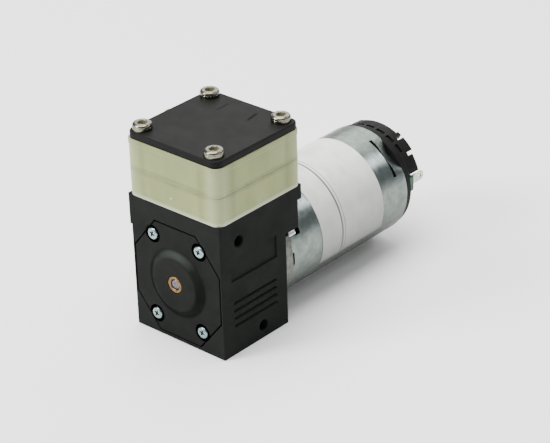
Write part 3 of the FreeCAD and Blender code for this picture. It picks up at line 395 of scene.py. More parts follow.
# What single finishes have on top. Lengths are in mm and angles in degrees; a tint is a strength
# and a colour.
screwSockets = {   # of the cap screws: middle of the four and their distance from it in x and y
    "middle": (-0.35, 3.4), "reach": (13.0, 13.25), "top": 61.85, "radius": 1.42,
    "soft": (0.08, 0.25), "share": 0.9, "residue": (0.155, 0.134, 0.062),
}
headLook = {
    "bottom": 40.8, "seam": 49.2, "top": 57.9,
    "warm": (0.45, (0.205, 0.200, 0.062)), "warmBelow": 5.0, "warmAbove": 0.3,
    "green": (0.8, (0.10, 0.125, 0.030)), "greenReach": 1.3,
    # A pale line on the seam: painted light in its groove
    "line": (0.3, (0.44, 0.46, 0.28)), "seamLightReach": 0.35,
    "cloud": (0.35, (0.27, 0.295, 0.14)), "cloudSize": 4.5, "cloudPull": (1, 1, 2),
    "cloudRange": (0.35, 0.65),
    "column": (0.35, (0.11, 0.13, 0.045)), "columnIn": 2.4, "columnReach": 1.3,
    # Paler corners: painted highlights
    "corner": (0.5, (0.31, 0.33, 0.20)), "cornerReach": 0.8,
    # Painted shade on the middle of the front
    "middle": (0.3, (0.135, 0.155, 0.050)), "shadedMiddleReach": 13.0,
    # Painted shade under the plate
    "grey": (0.30, (0.15, 0.16, 0.09)), "underPlateShadeReach": 3.0,
    "foot": (0.85, (0.46, 0.48, 0.36)), "footReach": 1.3,
    "gate": (0.65, (0.62, 0.64, 0.52)), "gatePlace": (-0.65, 44.4), "gateRadius": 0.42,
    "gateHeight": 0.08,
}


def headExtras(tree, colour, roughness, normal):
    # What shows through the plastic: a warm band under the seam, a soft green band on it, and faint
    # columns where the screws pass. A pale line on the seam is painted light in its groove. Painted
    # highlights make the corners paler; the foot is paler; painted shade darkens the middle of the
    # front and greys the plastic under the plate; and the pale gate mark on the front.
    look = headLook
    place = splitPlace(tree)
    height, seam = place["Z"], look["seam"]
    warm = times(tree, spread(tree, height, seam - look["warmBelow"], seam),
                 spread(tree, height, seam, seam + look["warmAbove"], 1.0, 0.0))
    colour = tinted(tree, colour, warm, look["warm"])
    colour = tinted(tree, colour, hump(tree, height, seam, look["greenReach"]), look["green"])
    # Painted light: a pale line in the seam's groove
    colour = tinted(tree, colour, hump(tree, height, seam, look["seamLightReach"]), look["line"])
    clouds = noise(tree, look["cloudSize"], 3.0, look["cloudPull"])
    colour = tinted(tree, colour, spread(tree, clouds, *look["cloudRange"]), look["cloud"])
    corner = 1.0
    for axis, middle, reach in zip("XY", screwSockets["middle"], screwSockets["reach"]):
        aside = awayFrom(tree, place[axis], middle)
        column = hump(tree, aside, reach - look["columnIn"], look["columnReach"])
        colour = tinted(tree, colour, column, look["column"])
        corner = times(tree, corner, spread(tree, aside, reach - look["cornerReach"],
                                            reach + look["cornerReach"]))
    # Painted highlights on the corners
    colour = tinted(tree, colour, corner, look["corner"])
    # Painted shade on the middle of the front and under the plate
    across = awayFrom(tree, place["X"], screwSockets["middle"][0])
    colour = tinted(tree, colour, hump(tree, across, 0.0, look["shadedMiddleReach"]), look["middle"])
    grey = spread(tree, height, look["top"] - look["underPlateShadeReach"], look["top"])
    colour = tinted(tree, colour, grey, look["grey"])
    foot = spread(tree, height, look["bottom"] + look["footReach"], look["bottom"])
    colour = tinted(tree, colour, foot, look["foot"])
    gateX, gateZ = look["gatePlace"]
    fromGate = distance(tree, minus(tree, place["X"], gateX), minus(tree, height, gateZ))
    gate = spread(tree, fromGate, look["gateRadius"] * 0.2, look["gateRadius"], 1.0, 0.0)
    gate = times(tree, gate, maths(tree, "LESS_THAN", place["Y"], 0.0))
    colour = tinted(tree, colour, gate, look["gate"])
    return colour, roughness, raised(tree, gate, look["gateHeight"], normal)


plateLook = {
    "scuffs": (   # start and end (x, y), half width, strength
        ((-5.65, 10.6), (-5.7, 16.6), 0.55, 0.55),
        ((5.45, 10.9), (4.5, 16.5), 0.65, 0.95),
    ),
    "scuffColour": (0.002, 0.002, 0.002), "scuffRough": 0.45, "scuffEnd": 0.55,
    "breakSize": 0.5, "breaks": (0.35, 0.6, 0.4, 1.0),   # range of the noise, share it leaves
    # Painted shade on the plate's sides
    "side": (0.6, (0.0025, 0.0027, 0.0025)), "shadedSideHeights": (59.85, 59.5),
}


def alongLine(tree, start, end):
    # Distances along and across the line from start to end in plan, from its middle, and half its
    # length
    length = math.dist(start, end)
    east, north = (end[0] - start[0]) / length, (end[1] - start[1]) / length
    place = splitPlace(tree)
    x = minus(tree, place["X"], (start[0] + end[0]) / 2)
    y = minus(tree, place["Y"], (start[1] + end[1]) / 2)
    along = plus(tree, times(tree, x, east), times(tree, y, north))
    across = minus(tree, times(tree, y, east), times(tree, x, north))
    return maths(tree, "ABSOLUTE", along), maths(tree, "ABSOLUTE", across), length / 2


def plateExtras(tree, colour, roughness, normal):
    # Two dark scuffs near the rear edge, and painted shade that darkens the sides.
    look = plateLook
    for start, end, width, strength in look["scuffs"]:
        along, across, reach = alongLine(tree, start, end)
        mark = times(tree, spread(tree, across, 0.0, width, strength, 0.0),
                     spread(tree, along, reach * look["scuffEnd"], reach, 1.0, 0.0))
        broken = spread(tree, noise(tree, look["breakSize"], 3.0), *look["breaks"])
        mark = times(tree, mark, broken)
        colour = mixed(tree, mark, colour, look["scuffColour"])
        roughness = plus(tree, roughness, times(tree, mark, look["scuffRough"]))
    # Painted shade that darkens the sides.
    side = spread(tree, splitPlace(tree)["Z"], *look["shadedSideHeights"])
    return tinted(tree, colour, side, look["side"]), roughness, normal


ventFloorLight = {
    "floor": 15.3, "face": 16.42, "soft": 0.1,       # |x| of the grooves' floor and of the side
    "middle": (0.15, 12.35), "reach": (9.2, 4.4),    # y and z
    # Painted light on the grooves' floors
    "floorLight": (0.85, (0.050, 0.056, 0.050)),
}


def bodyExtras(tree, colour, roughness, normal):
    # Painted light that makes the floors of the vent grooves of both sides paler.
    look = ventFloorLight
    place = splitPlace(tree)
    aside = maths(tree, "ABSOLUTE", place["X"])
    share = times(tree, spread(tree, aside, look["face"], look["face"] - look["soft"]),
                  spread(tree, aside, look["floor"] - look["soft"], look["floor"]))
    for axis, middle, reach in zip("YZ", look["middle"], look["reach"]):
        inside = maths(tree, "LESS_THAN", awayFrom(tree, place[axis], middle), reach)
        share = times(tree, share, inside)
    return tinted(tree, colour, share, look["floorLight"]), roughness, normal


coverLook = {
    "face": -13.15, "behindFace": (0.03, 0.08),      # y
    # Painted shade in the chamfers and pockets
    "recess": (0.0012, 0.0012, 0.0012),
    # Painted shade in the boss's foot
    "foot": (0.2, (0.003, 0.003, 0.003)), "footShadeRadius": 9.9, "footReach": 0.6, "footRough": 0.3,
    # Painted highlight on top of the boss's round
    "roundHighlight": (0.7, (0.036, 0.041, 0.039)), "roundHighlightRadius": 9.0, "roundHighlightReach": 1.3, "roundHighlightAngles": (88, 46),
    "steepRadius": 9.1, "steepReach": (0.9, 1.7), "steepShare": 0.85,
    "topAngle": 85, "topReach": (45, 80),
}


def recessShare(tree):
    # 1 on what lies behind the cover's front face, in its chamfer and its pockets
    start, end = (coverLook["face"] + behind for behind in coverLook["behindFace"])
    return spread(tree, splitPlace(tree)["Y"], start, end)


def coverShare(tree):
    # The same, and the steep stretch of the boss's round away from its top
    look = coverLook
    fromShaft, angle = aroundShaft(tree)
    steep = spread(tree, awayFrom(tree, fromShaft, look["steepRadius"]), *look["steepReach"],
                   look["steepShare"], 0.0)
    aside = spread(tree, awayFrom(tree, angle, look["topAngle"]), *look["topReach"])
    return maths(tree, "MAXIMUM", times(tree, steep, aside), recessShare(tree))


def coverExtras(tree, colour, roughness, normal):
    # Painted shade in the boss's foot, which is also rougher there; a painted highlight on top of
    # its round; and painted shade in the chamfers and pockets.
    look = coverLook
    fromShaft, angle = aroundShaft(tree)
    foot = hump(tree, fromShaft, look["footShadeRadius"], look["footReach"])
    roundHighlightShare = times(tree, hump(tree, fromShaft, look["roundHighlightRadius"], look["roundHighlightReach"]),
                   hump(tree, angle, *look["roundHighlightAngles"]))
    # Painted highlight on the round, then painted shade in the foot and in the recesses.
    colour = tinted(tree, colour, roundHighlightShare, look["roundHighlight"])
    colour = tinted(tree, colour, foot, look["foot"])
    colour = mixed(tree, recessShare(tree), colour, look["recess"])
    return colour, plus(tree, roughness, times(tree, foot, look["footRough"])), normal


def residueShare(tree):
    # Highest in the sockets of the four cap screws, 0 elsewhere
    size = screwSockets
    place = splitPlace(tree)
    offsets = [minus(tree, awayFrom(tree, place[axis], middle), reach)
               for axis, middle, reach in zip("XY", size["middle"], size["reach"])]
    rim, depth = size["soft"]
    inside = spread(tree, distance(tree, *offsets), size["radius"], size["radius"] + rim, 1.0, 0.0)
    below = spread(tree, place["Z"], size["top"] - depth, size["top"], 1.0, 0.0)
    return times(tree, times(tree, inside, below), size["share"])


def screwExtras(tree, colour, roughness, normal):
    # Brown residue in the sockets.
    return mixed(tree, residueShare(tree), colour, screwSockets["residue"]), roughness, normal


runInRing = {"radii": (1.8, 2.1), "grey": (0.9, (0.10, 0.085, 0.082))}


def bushExtras(tree, colour, roughness, normal):
    # Grey run-in ring next to the shaft.
    share = spread(tree, aroundShaft(tree)[0], *runInRing["radii"], 1.0, 0.0)
    return tinted(tree, colour, share, runInRing["grey"]), roughness, normal


foilLook = {
    "lines": ((37.15, 0.36), (38.35, 0.12)),         # y and half width of each ruled line
    "line": (0.9, (0.05, 0.05, 0.048)), "lineCore": 0.7,
    "smudge": (0.30, (0.44, 0.45, 0.42)), "smudgeSize": 5.0, "smudgePull": (1, 0.6, 1),
    "smudgeRange": (0.45, 0.75),
    # Painted shade, greyer towards the underside
    "under": (0.94, (0.12, 0.128, 0.114)), "underShadeAngles": (64, -24),
}


def foilExtras(tree, colour, roughness, normal):
    # Two ruled lines round the foil, smudges, and painted shade that greys it towards the
    # underside.
    look = foilLook
    smudges = noise(tree, look["smudgeSize"], 3.0, look["smudgePull"])
    colour = tinted(tree, colour, spread(tree, smudges, *look["smudgeRange"]), look["smudge"])
    # Painted shade towards the underside.
    under = spread(tree, aroundShaft(tree)[1], *look["underShadeAngles"])
    colour = tinted(tree, colour, under, look["under"])
    along = splitPlace(tree)["Y"]
    for place, half in look["lines"]:
        line = spread(tree, awayFrom(tree, along, place), half * look["lineCore"], half, 1.0, 0.0)
        colour = tinted(tree, colour, line, look["line"])
    return colour, roughness, normal


sheets = {"thickness": 0.5, "joint": 0.18, "depth": 0.03, "gap": (0.6, (0.05, 0.05, 0.055))}


def laminationExtras(tree, colour, roughness, normal):
    # Sheets stacked along Y; joint is the share of each that its gap takes.
    phase = maths(tree, "FRACT", times(tree, splitPlace(tree)["Y"], 1 / sheets["thickness"]))
    joint = maths(tree, "LESS_THAN", phase, sheets["joint"])
    colour = tinted(tree, colour, joint, sheets["gap"])
    return colour, roughness, raised(tree, minus(tree, 1.0, joint), sheets["depth"], normal)


wires = {"thickness": 0.4, "depth": 0.12, "gap": (0.7, (0.10, 0.03, 0.01)), "gapEnd": 0.6}


def wireExtras(tree, colour, roughness, normal):
    # Turns of wire, seen as rings round the shaft.
    phase = maths(tree, "FRACT", times(tree, aroundShaft(tree)[0], 1 / wires["thickness"]))
    crown = maths(tree, "SINE", times(tree, phase, math.pi))
    gap = spread(tree, crown, 0.0, wires["gapEnd"], 1.0, 0.0)
    colour = tinted(tree, colour, gap, wires["gap"])
    return colour, roughness, raised(tree, crown, wires["depth"], normal)


# The bright and the dark blue band are painted reflections, and the darker underside is painted
# shade.
canLook = {   # angles of the bands: middle and reach, and where the underside starts and is full
    "bright": (0.7, (0.43, 0.51, 0.51)), "brightReflectionAngles": (48, 12),
    "dark": (0.62, (0.072, 0.094, 0.098)), "darkReflectionAngles": (31, 12.5),
    "under": (0.82, (0.054, 0.064, 0.056)), "underShadeAngles": (14, -32),
    "cloud": (0.28, (0.12, 0.148, 0.136)), "cloudSize": 1.3, "cloudDepth": 0.006,
    "cloudRange": (0.42, 0.66),
    "waver": 15.0, "waverSize": 2.5,
}


def canExtras(tree, colour, roughness, normal):
    # Zinc clouds; a bright and a dark blue band along the can, both painted reflections; and
    # painted shade that dulls the underside.
    look = canLook
    clouds = noise(tree, look["cloudSize"], 4.0)
    waver = times(tree, minus(tree, noise(tree, look["waverSize"], 3.0), 0.5), look["waver"])
    angle = plus(tree, aroundShaft(tree)[1], waver)
    colour = tinted(tree, colour, spread(tree, clouds, *look["cloudRange"]), look["cloud"])
    # Painted reflections, then painted shade towards the underside.
    colour = tinted(tree, colour, hump(tree, angle, *look["brightReflectionAngles"]), look["bright"])
    colour = tinted(tree, colour, hump(tree, angle, *look["darkReflectionAngles"]), look["dark"])
    colour = tinted(tree, colour, spread(tree, angle, *look["underShadeAngles"]), look["under"])
    return colour, roughness, raised(tree, clouds, look["cloudDepth"], normal)


boardTracks = {
    "ring": 10.6, "bar": 27.75, "half": 0.9,         # radius, height and half width
    "edge": (0.1, 0.2), "track": (0.7, (0.018, 0.092, 0.042)), "depth": 0.035,
}


def boardExtras(tree, colour, roughness, normal):
    # Copper tracks that show faintly through the green: a ring from blade to blade and a bar to
    # the capacitor.
    look = boardTracks
    fromShaft = aroundShaft(tree)[0]
    ring = spread(tree, hump(tree, fromShaft, look["ring"], look["half"]), *look["edge"])
    height = splitPlace(tree)["Z"]
    bar = spread(tree, hump(tree, height, look["bar"], look["half"]), *look["edge"])
    inner = spread(tree, fromShaft, look["ring"], look["ring"] + 0.1, 1.0, 0.0)
    track = maths(tree, "MAXIMUM", ring, times(tree, bar, inner))
    colour = tinted(tree, colour, track, look["track"])
    return colour, roughness, raised(tree, track, look["depth"], normal)


extras = {
    "body_plastic": bodyExtras, "cover_plastic": coverExtras, "head_plastic": headExtras,
    "plate_black": plateExtras, "nickelScrew": screwExtras, "bronze": bushExtras,
    "can_steel": canExtras, "foil": foilExtras, "board_green": boardExtras,
    "laminations": laminationExtras, "copper": wireExtras,
}
dulled = {"nickelScrew": ("metal", residueShare), "cover_plastic": ("specular", coverShare)}


def paintNodes():
    slotOf = {part["node"]: part["material_slot"] for part in frame["record"]["subparts"]}
    for name, node in nodes.items():
        for place in range(len(node.material_slots)):
            node.material_slots[place].material = made[slotOf[name]]


# Modelling helpers; sizes are in mm unless a note says metres
nearly = 0.01 * mm       # m, two places closer than this are taken as one
doubles = 0.002 * mm     # m, corners of a CAD mesh closer than this are merged
facing = 0.9             # least share of a face's normal along the axis that it faces
square = 0.99999         # the same for a flat face that is square to the axis


def onlyPicked(piece):
    bpy.ops.object.select_all(action="DESELECT")
    piece.select_set(True)
    bpy.context.view_layer.objects.active = piece


def startPicking(piece, kind):
    onlyPicked(piece)
    bpy.ops.object.mode_set(mode="EDIT")
    bpy.ops.mesh.select_mode(type=kind)
    bpy.ops.mesh.select_all(action="DESELECT")
    bpy.ops.object.mode_set(mode="OBJECT")


def editFaces(piece, wanted):
    # Into edit mode with the faces that wanted(face) keeps.
    startPicking(piece, "FACE")
    for face in piece.data.polygons:
        face.select = bool(wanted(face))
    bpy.ops.object.mode_set(mode="EDIT")


def editEdges(piece, wanted):
    # Into edit mode with the edges that wanted(first, second) keeps.
    startPicking(piece, "EDGE")
    points = piece.data.vertices
    for edge in piece.data.edges:
        edge.select = bool(wanted(points[edge.vertices[0]].co, points[edge.vertices[1]].co))
    bpy.ops.object.mode_set(mode="EDIT")


def leaveEdit():
    bpy.ops.object.mode_set(mode="OBJECT")


def extrudeBy(x, y, z):
    shift = (x * mm, y * mm, z * mm)
    bpy.ops.mesh.extrude_region_move(TRANSFORM_OT_translate={"value": shift})


def bevelEdges(width, segments):
    bpy.ops.mesh.bevel(offset=width * mm, segments=segments, affect="EDGES")


def applyModifier(piece, kind, **settings):
    onlyPicked(piece)
    modifier = piece.modifiers.new(kind.lower(), kind)
    for key, value in settings.items():
        setattr(modifier, key, value)
    bpy.ops.object.modifier_apply(modifier=modifier.name)


def softenEdges(piece, width, segments, leastAngle, clamp=True):
    applyModifier(piece, "BEVEL", width=width * mm, segments=segments, limit_method="ANGLE",
                  angle_limit=math.radians(leastAngle), use_clamp_overlap=clamp)


def cutAway(piece, cutter):
    applyModifier(piece, "BOOLEAN", operation="DIFFERENCE", solver="EXACT", object=cutter)
    bpy.data.objects.remove(cutter)


def settlePlace(piece):
    # Puts the piece's place into its mesh.
    onlyPicked(piece)
    bpy.ops.object.transform_apply(location=True, rotation=True, scale=True)


def copyAt(piece, name, shift):
    # shift in metres
    twin = bpy.data.objects.new(name, piece.data.copy())
    bpy.context.scene.collection.objects.link(twin)
    twin.location = shift
    settlePlace(twin)
    return twin


def mergedCopy(node, name, flatWithin=None):
    # A copy of a CAD node, whose mesh is loose triangles, with its doubles merged. Given an angle
    # in degrees, faces that lie flat within it become one.
    piece = bpy.data.objects.new(name, nodes[node].data.copy())
    bpy.context.scene.collection.objects.link(piece)
    onlyPicked(piece)
    bpy.ops.object.mode_set(mode="EDIT")
    bpy.ops.mesh.select_all(action="SELECT")
    bpy.ops.mesh.remove_doubles(threshold=doubles)
    if flatWithin:
        bpy.ops.mesh.dissolve_limited(angle_limit=math.radians(flatWithin))
    leaveEdit()
    return piece


def keepFlat(piece, axis):
    # The flat faces square to this axis keep their own shading.
    editFaces(piece, lambda face: abs(getattr(face.normal, axis)) > square)
    bpy.ops.mesh.region_to_loop()
    bpy.ops.mesh.mark_sharp()
    leaveEdit()


def boxCorners(node, reach, axes):
    # The corners of a node's box seen along the third axis, each moved in by reach; metres
    low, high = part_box(node)
    firsts, seconds = ((getattr(low, axis) + reach, getattr(high, axis) - reach) for axis in axes)
    return [(first, second) for first in firsts for second in seconds]


def finishPiece(piece, body, slotName, replaced=None, smoothAngle=30, look=None):
    onlyPicked(piece)
    bpy.ops.object.shade_smooth_by_angle(angle=math.radians(smoothAngle))
    piece.data.materials.clear()
    piece.data.materials.append(made[look or slotName])
    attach(piece, body)
    if replaced:
        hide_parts(replaced)


# Pressure plate: a copy of the solid with its sharp edges rounded
softPlate = {"rounding": 0.12, "segments": 2, "leastAngle": 40, "flatWithin": 0.6}   # mm, degrees


def makePressurePlate():
    size = softPlate
    plate = mergedCopy("top_plate", "pressurePlate", size["flatWithin"])
    softenEdges(plate, size["rounding"], size["segments"], size["leastAngle"], clamp=False)
    finishPiece(plate, "root", "plate_black", "top_plate", 35)
    keepFlat(plate, "z")


# Front cover: a copy of the solid whose boss gets the wide soft round of the moulding
softBoss = {"flat": 7.5, "foot": 10.1, "outside": 10.6, "height": 1.296, "proud": 0.3,
            "steps": 14, "corners": 144}


def makeBossCutter(front):
    # A ring round the boss, its inner side a soft S; front is the y of the boss's face.
    size = softBoss
    outline = [(size["flat"] + (size["foot"] - size["flat"]) * step / size["steps"],
                size["height"] / 2 * (1 - math.cos(math.pi * step / size["steps"])))
               for step in range(size["steps"] + 1)]
    outline += [(size["outside"], size["height"]), (size["outside"], -size["proud"]),
                (size["flat"], -size["proud"]), outline[0]]
    hub = (0, 0, shaftLine[1] * mm)
    bpy.ops.mesh.primitive_circle_add(
        vertices=size["corners"], radius=size["flat"] * mm, rotation=(math.radians(90), 0, 0),
        location=(0, front * mm, shaftLine[1] * mm))
    cutter = bpy.context.object
    settlePlace(cutter)
    bpy.ops.object.mode_set(mode="EDIT")
    bpy.ops.mesh.select_mode(type="EDGE")
    bpy.ops.mesh.select_all(action="SELECT")
    for (radius, depth), (nextRadius, nextDepth) in zip(outline, outline[1:]):
        extrudeBy(0, nextDepth - depth, 0)
        wider = nextRadius / radius
        bpy.ops.transform.resize(value=(wider, 1, wider), center_override=hub)
    bpy.ops.mesh.select_all(action="SELECT")
    bpy.ops.mesh.remove_doubles(threshold=0.001 * mm)
    bpy.ops.mesh.normals_make_consistent(inside=False)
    leaveEdit()
    return cutter


def makeFrontCover():
    cover = mergedCopy("front_cover", "frontCover")
    cutAway(cover, makeBossCutter(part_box("front_cover")[0].y / mm))
    finishPiece(cover, "root", "cover_plastic", "front_cover")
    keepFlat(cover, "y")


# Low-head cap screws of the head, M3
capScrew = {"headRadius": 2.75, "sideHeight": 0.95, "headHeight": 2.0, "corners": 64,
            "crown": 0.78, "crownSteps": 6, "groove": 0.04, "shank": 1.5, "length": 22.0,
            "socket": 2.5, "socketDepth": 1.2, "socketEdge": 0.12}


def cutSocket(screw, x, y, rim):
    # A hexagon hole in the top of the head, its edge broken; rim is the height of the head's top.
    size = capScrew
    radius = size["socket"] / math.sqrt(3)
    bpy.ops.mesh.primitive_cylinder_add(vertices=6, radius=radius * mm,
                                        depth=2 * size["socketDepth"] * mm,
                                        location=(x * mm, y * mm, rim * mm))
    cutter = bpy.context.object
    settlePlace(cutter)
    cutAway(screw, cutter)

    def atSocket(point):
        away = math.hypot(point.x - x * mm, point.y - y * mm)
        return point.z > rim * mm - nearly and away < (radius + 0.05) * mm

    editEdges(screw, lambda a, b: atSocket(a) and atSocket(b))
    bevelEdges(size["socketEdge"], 2)
    leaveEdit()


def makeCapScrew(x, y, seat):
    # seat is the height of the plate that the head sits on.
    size = capScrew
    middle = seat + size["sideHeight"] / 2
    bpy.ops.mesh.primitive_cylinder_add(
        vertices=size["corners"], radius=size["headRadius"] * mm, depth=size["sideHeight"] * mm,
        location=(x * mm, y * mm, middle * mm))
    screw = bpy.context.object
    screw.name = "headScrew"
    settlePlace(screw)
    editFaces(screw, lambda face: face.normal.z < -facing)
    bpy.ops.mesh.inset(thickness=(size["headRadius"] - size["shank"]) * mm)
    extrudeBy(0, 0, -size["length"])
    leaveEdit()
    # A fine turned groove parts the side from the crown.
    editFaces(screw, lambda face: face.normal.z > facing)
    bpy.ops.mesh.inset(thickness=size["groove"] * mm)
    extrudeBy(0, 0, 2 * size["groove"])
    extrudeBy(0, 0, 0)
    wider = size["headRadius"] / (size["headRadius"] - size["groove"])
    bpy.ops.transform.resize(value=(wider, wider, 1), center_override=(x * mm, y * mm, 0))
    extrudeBy(0, 0, size["headHeight"] - size["sideHeight"] - 2 * size["groove"])
    leaveEdit()
    rim = seat + size["headHeight"]
    editEdges(screw, lambda a, b: min(a.z, b.z) > rim * mm - nearly)
    bevelEdges(size["crown"], size["crownSteps"])
    leaveEdit()
    cutSocket(screw, x, y, rim)
    return screw


def makeHeadScrews():
    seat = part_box("head_screws")[1].z / mm - capScrew["headHeight"]
    places = boxCorners("head_screws", capScrew["headRadius"] * mm, "xy")
    firstX, firstY = places[0]
    first = makeCapScrew(firstX / mm, firstY / mm, seat)
    screws = [first]
    for number, (x, y) in enumerate(places[1:], 2):
        screws.append(copyAt(first, "headScrew%d" % number, (x - firstX, y - firstY, 0)))
    for screw in screws:
        finishPiece(screw, "root", "zinc_steel", "head_screws", look="nickelScrew")


# Pan-head screws of the front cover
panScrew = {"boxRadius": 2.0, "headRadius": 1.75, "headHeight": 1.3, "corners": 40,
            "crown": 0.42, "crownSteps": 4, "shank": 1.1, "length": 4.2,
            "crossTurn": 20, "crossLength": 2.35, "crossWidth": 0.62, "crossDepth": 0.8,
            "crossFloor": (0.55, 0.8)}   # floor of the cross against its mouth, along and across


def makeCrossCutter(x, z, face, turn):
    # One bar of the cross, narrower towards its floor; face is the y of the head's top.
    size = panScrew
    bpy.ops.mesh.primitive_cylinder_add(
        vertices=4, radius=size["crossLength"] / 2 * math.sqrt(2) * mm,
        depth=2 * size["crossDepth"] * mm, rotation=(0, 0, math.radians(45)))
    cutter = bpy.context.object
    settlePlace(cutter)
    cutter.scale = (1, size["crossWidth"] / size["crossLength"], 1)
    cutter.location = (0, 0, 0)
    settlePlace(cutter)
    editFaces(cutter, lambda part: part.normal.z < -facing)
    bpy.ops.transform.resize(value=(*size["crossFloor"], 1))
    leaveEdit()
    cutter.rotation_euler = (math.radians(90), math.radians(turn), 0)
    cutter.location = (x * mm, face * mm, z * mm)
    settlePlace(cutter)
    return cutter


def makePanScrew(x, z, seat):
    # seat is the y of the pocket's floor; the head points towards -Y.
    size = panScrew
    middle = seat - size["headHeight"] / 2
    bpy.ops.mesh.primitive_cylinder_add(
        vertices=size["corners"], radius=size["headRadius"] * mm, depth=size["headHeight"] * mm,
        rotation=(math.radians(90), 0, 0), location=(x * mm, middle * mm, z * mm))
    screw = bpy.context.object
    screw.name = "coverScrew"
    settlePlace(screw)
    face = seat - size["headHeight"]
    editEdges(screw, lambda a, b: max(a.y, b.y) < face * mm + nearly)
    bevelEdges(size["crown"], size["crownSteps"])
    leaveEdit()
    editFaces(screw, lambda part: part.normal.y > facing)
    bpy.ops.mesh.inset(thickness=(size["headRadius"] - size["shank"]) * mm)
    extrudeBy(0, size["length"], 0)
    leaveEdit()
    for quarter in (0, 90):
        cutAway(screw, makeCrossCutter(x, z, face, size["crossTurn"] + quarter))
    return screw


def makeCoverScrews():
    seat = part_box("cover_screws")[0].y / mm + panScrew["headHeight"]
    places = boxCorners("cover_screws", panScrew["boxRadius"] * mm, "xz")
    firstX, firstZ = places[0]
    first = makePanScrew(firstX / mm, firstZ / mm, seat)
    screws = [first]
    for number, (x, z) in enumerate(places[1:], 2):
        screws.append(copyAt(first, "coverScrew%d" % number, (x - firstX, 0, z - firstZ)))
    for screw in screws:
        finishPiece(screw, "root", "zinc_steel", "cover_screws", look="blueZincScrew")


# Crimped tabs of the can, bent over the front plate's rim
crimpTab = {"angle": 27.9, "count": 4, "width": 1.9, "inner": 15.6, "outer": 17.05,
            "start": 15.9, "end": 18.4, "round": 0.4, "roundSteps": 4, "edge": 0.08,
            "punchRim": 0.2, "punchDepth": 0.08, "punchFloor": 0.6}


def turnAbout(piece, angle):
    # Degrees round the shaft, from +X towards +Z.
    hub = Vector((shaftLine[0] * mm, 0, shaftLine[1] * mm))
    turn = Matrix.Rotation(math.radians(-angle), 4, "Y")
    piece.matrix_world = Matrix.Translation(hub) @ turn @ Matrix.Translation(-hub)
    settlePlace(piece)


def makeCrimpTab():
    # Made at +X of the shaft, with its punched face outwards.
    size = crimpTab
    across = (size["outer"] - size["inner"], size["end"] - size["start"], size["width"])
    middle = ((size["outer"] + size["inner"]) / 2, (size["end"] + size["start"]) / 2, shaftLine[1])
    bpy.ops.mesh.primitive_cube_add(size=mm, location=Vector(middle) * mm, scale=across)
    tab = bpy.context.object
    tab.name = "crimpTab"
    settlePlace(tab)
    outer, start = size["outer"] * mm, size["start"] * mm
    editEdges(tab, lambda a, b: min(a.x, b.x) > outer - nearly
              and (abs(a.z - b.z) < nearly or max(a.y, b.y) < start + nearly))
    bevelEdges(size["round"], size["roundSteps"])
    leaveEdit()
    editFaces(tab, lambda face: face.normal.x > square)
    bpy.ops.mesh.inset(thickness=size["punchRim"] * mm)
    extrudeBy(-size["punchDepth"], 0, 0)
    bpy.ops.transform.resize(value=(1, size["punchFloor"], size["punchFloor"]))
    leaveEdit()
    softenEdges(tab, size["edge"], 2, 40)
    return tab


def makeCrimpTabs():
    tabs = [makeCrimpTab()]
    for number in range(2, crimpTab["count"] + 1):
        tabs.append(copyAt(tabs[0], "crimpTab%d" % number, (0, 0, 0)))
    # The tabs get the can's steel painted paler: painted light
    for step, tab in enumerate(tabs):
        turnAbout(tab, crimpTab["angle"] + 360 * step / crimpTab["count"])
        finishPiece(tab, "root", "can_steel", look="tabZincLit")


# Solder round the two blade terminals, on the back of the board
solderJoint = {"reach": 1.0, "neck": 0.55, "corners": 32, "footHeight": 0.35, "neckHeight": 0.45,
               "neckTop": 0.72, "stretch": 1.85, "edge": 0.12, "bladeHalf": 0.25}


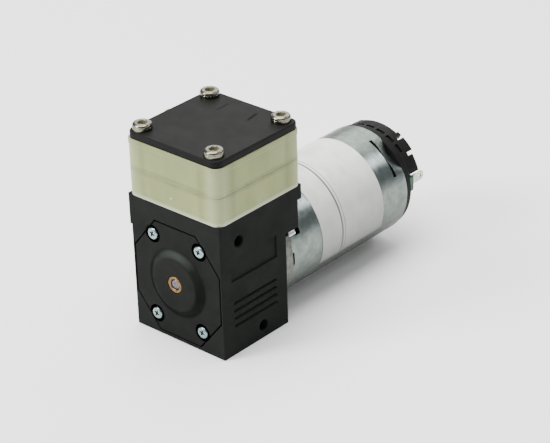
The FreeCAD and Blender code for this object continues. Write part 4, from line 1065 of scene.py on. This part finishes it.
def makeSolderJoint(x, y, z):
    # x and z of the blade's middle, y of the board's back face; metres
    size = solderJoint
    bpy.ops.mesh.primitive_cone_add(
        vertices=size["corners"], radius1=size["reach"] * mm, radius2=size["neck"] * mm,
        depth=size["footHeight"] * mm, rotation=(math.radians(-90), 0, 0),
        location=(x, y + size["footHeight"] * mm / 2, z))
    solder = bpy.context.object
    solder.name = "solderJoint"
    settlePlace(solder)
    editFaces(solder, lambda face: face.normal.y > facing)
    extrudeBy(0, size["neckHeight"], 0)
    bpy.ops.transform.resize(value=(size["neckTop"], 1, size["neckTop"]),
                             center_override=(x, y, z))
    bpy.ops.mesh.select_all(action="SELECT")
    bpy.ops.transform.resize(value=(1, 1, size["stretch"]), center_override=(x, y, z))
    leaveEdit()
    softenEdges(solder, size["edge"], 3, 12)
    return solder


def makeSolderJoints():
    low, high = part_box("terminals")
    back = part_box("suppressor_board")[1].y
    side = high.x - solderJoint["bladeHalf"] * mm
    height = (low.z + high.z) / 2
    right = makeSolderJoint(side, back, height)
    left = copyAt(right, "solderJoint2", (-2 * side, 0, 0))
    for solder in (right, left):
        finishPiece(solder, "root", "tinned", smoothAngle=60)


# Tinned ends of the capacitor chip, each with its solder running out on to the board
chipEnd = {"length": 0.46, "wrap": 0.03, "run": 0.5, "edge": 0.06}


def makeChipEnds():
    low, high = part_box("suppressor_capacitor")
    size = chipEnd
    wrap = size["wrap"] * mm
    across = (size["length"] * mm, high.y - low.y + wrap, high.z - low.z + 2 * wrap)
    middle = (high.x + wrap - across[0] / 2, low.y + across[1] / 2, (low.z + high.z) / 2)
    for side, name in ((1, "chipEnd"), (-1, "chipEnd2")):
        bpy.ops.mesh.primitive_cube_add(size=1, location=(side * middle[0], middle[1], middle[2]),
                                        scale=across)
        end = bpy.context.object
        end.name = name
        settlePlace(end)
        face = side * (high.x + wrap)
        editEdges(end, lambda a, b: max(a.y, b.y) < low.y + nearly
                  and max(abs(a.x - face), abs(b.x - face)) < nearly)
        bpy.ops.transform.translate(value=(side * size["run"] * mm, 0, 0))
        leaveEdit()
        softenEdges(end, size["edge"], 2, 30)
        finishPiece(end, "root", "tinned")


setUpStudio()
print("studio ready")
made = {name: makeFinish(name, look) for name, look in finishes.items()}
paintNodes()
print("finishes ready:", len(made))
makePressurePlate()
makeFrontCover()
print("plate and cover ready")
makeHeadScrews()
makeCoverScrews()
print("screws ready")
makeCrimpTabs()
makeSolderJoints()
makeChipEnds()
print("tabs and solder ready")
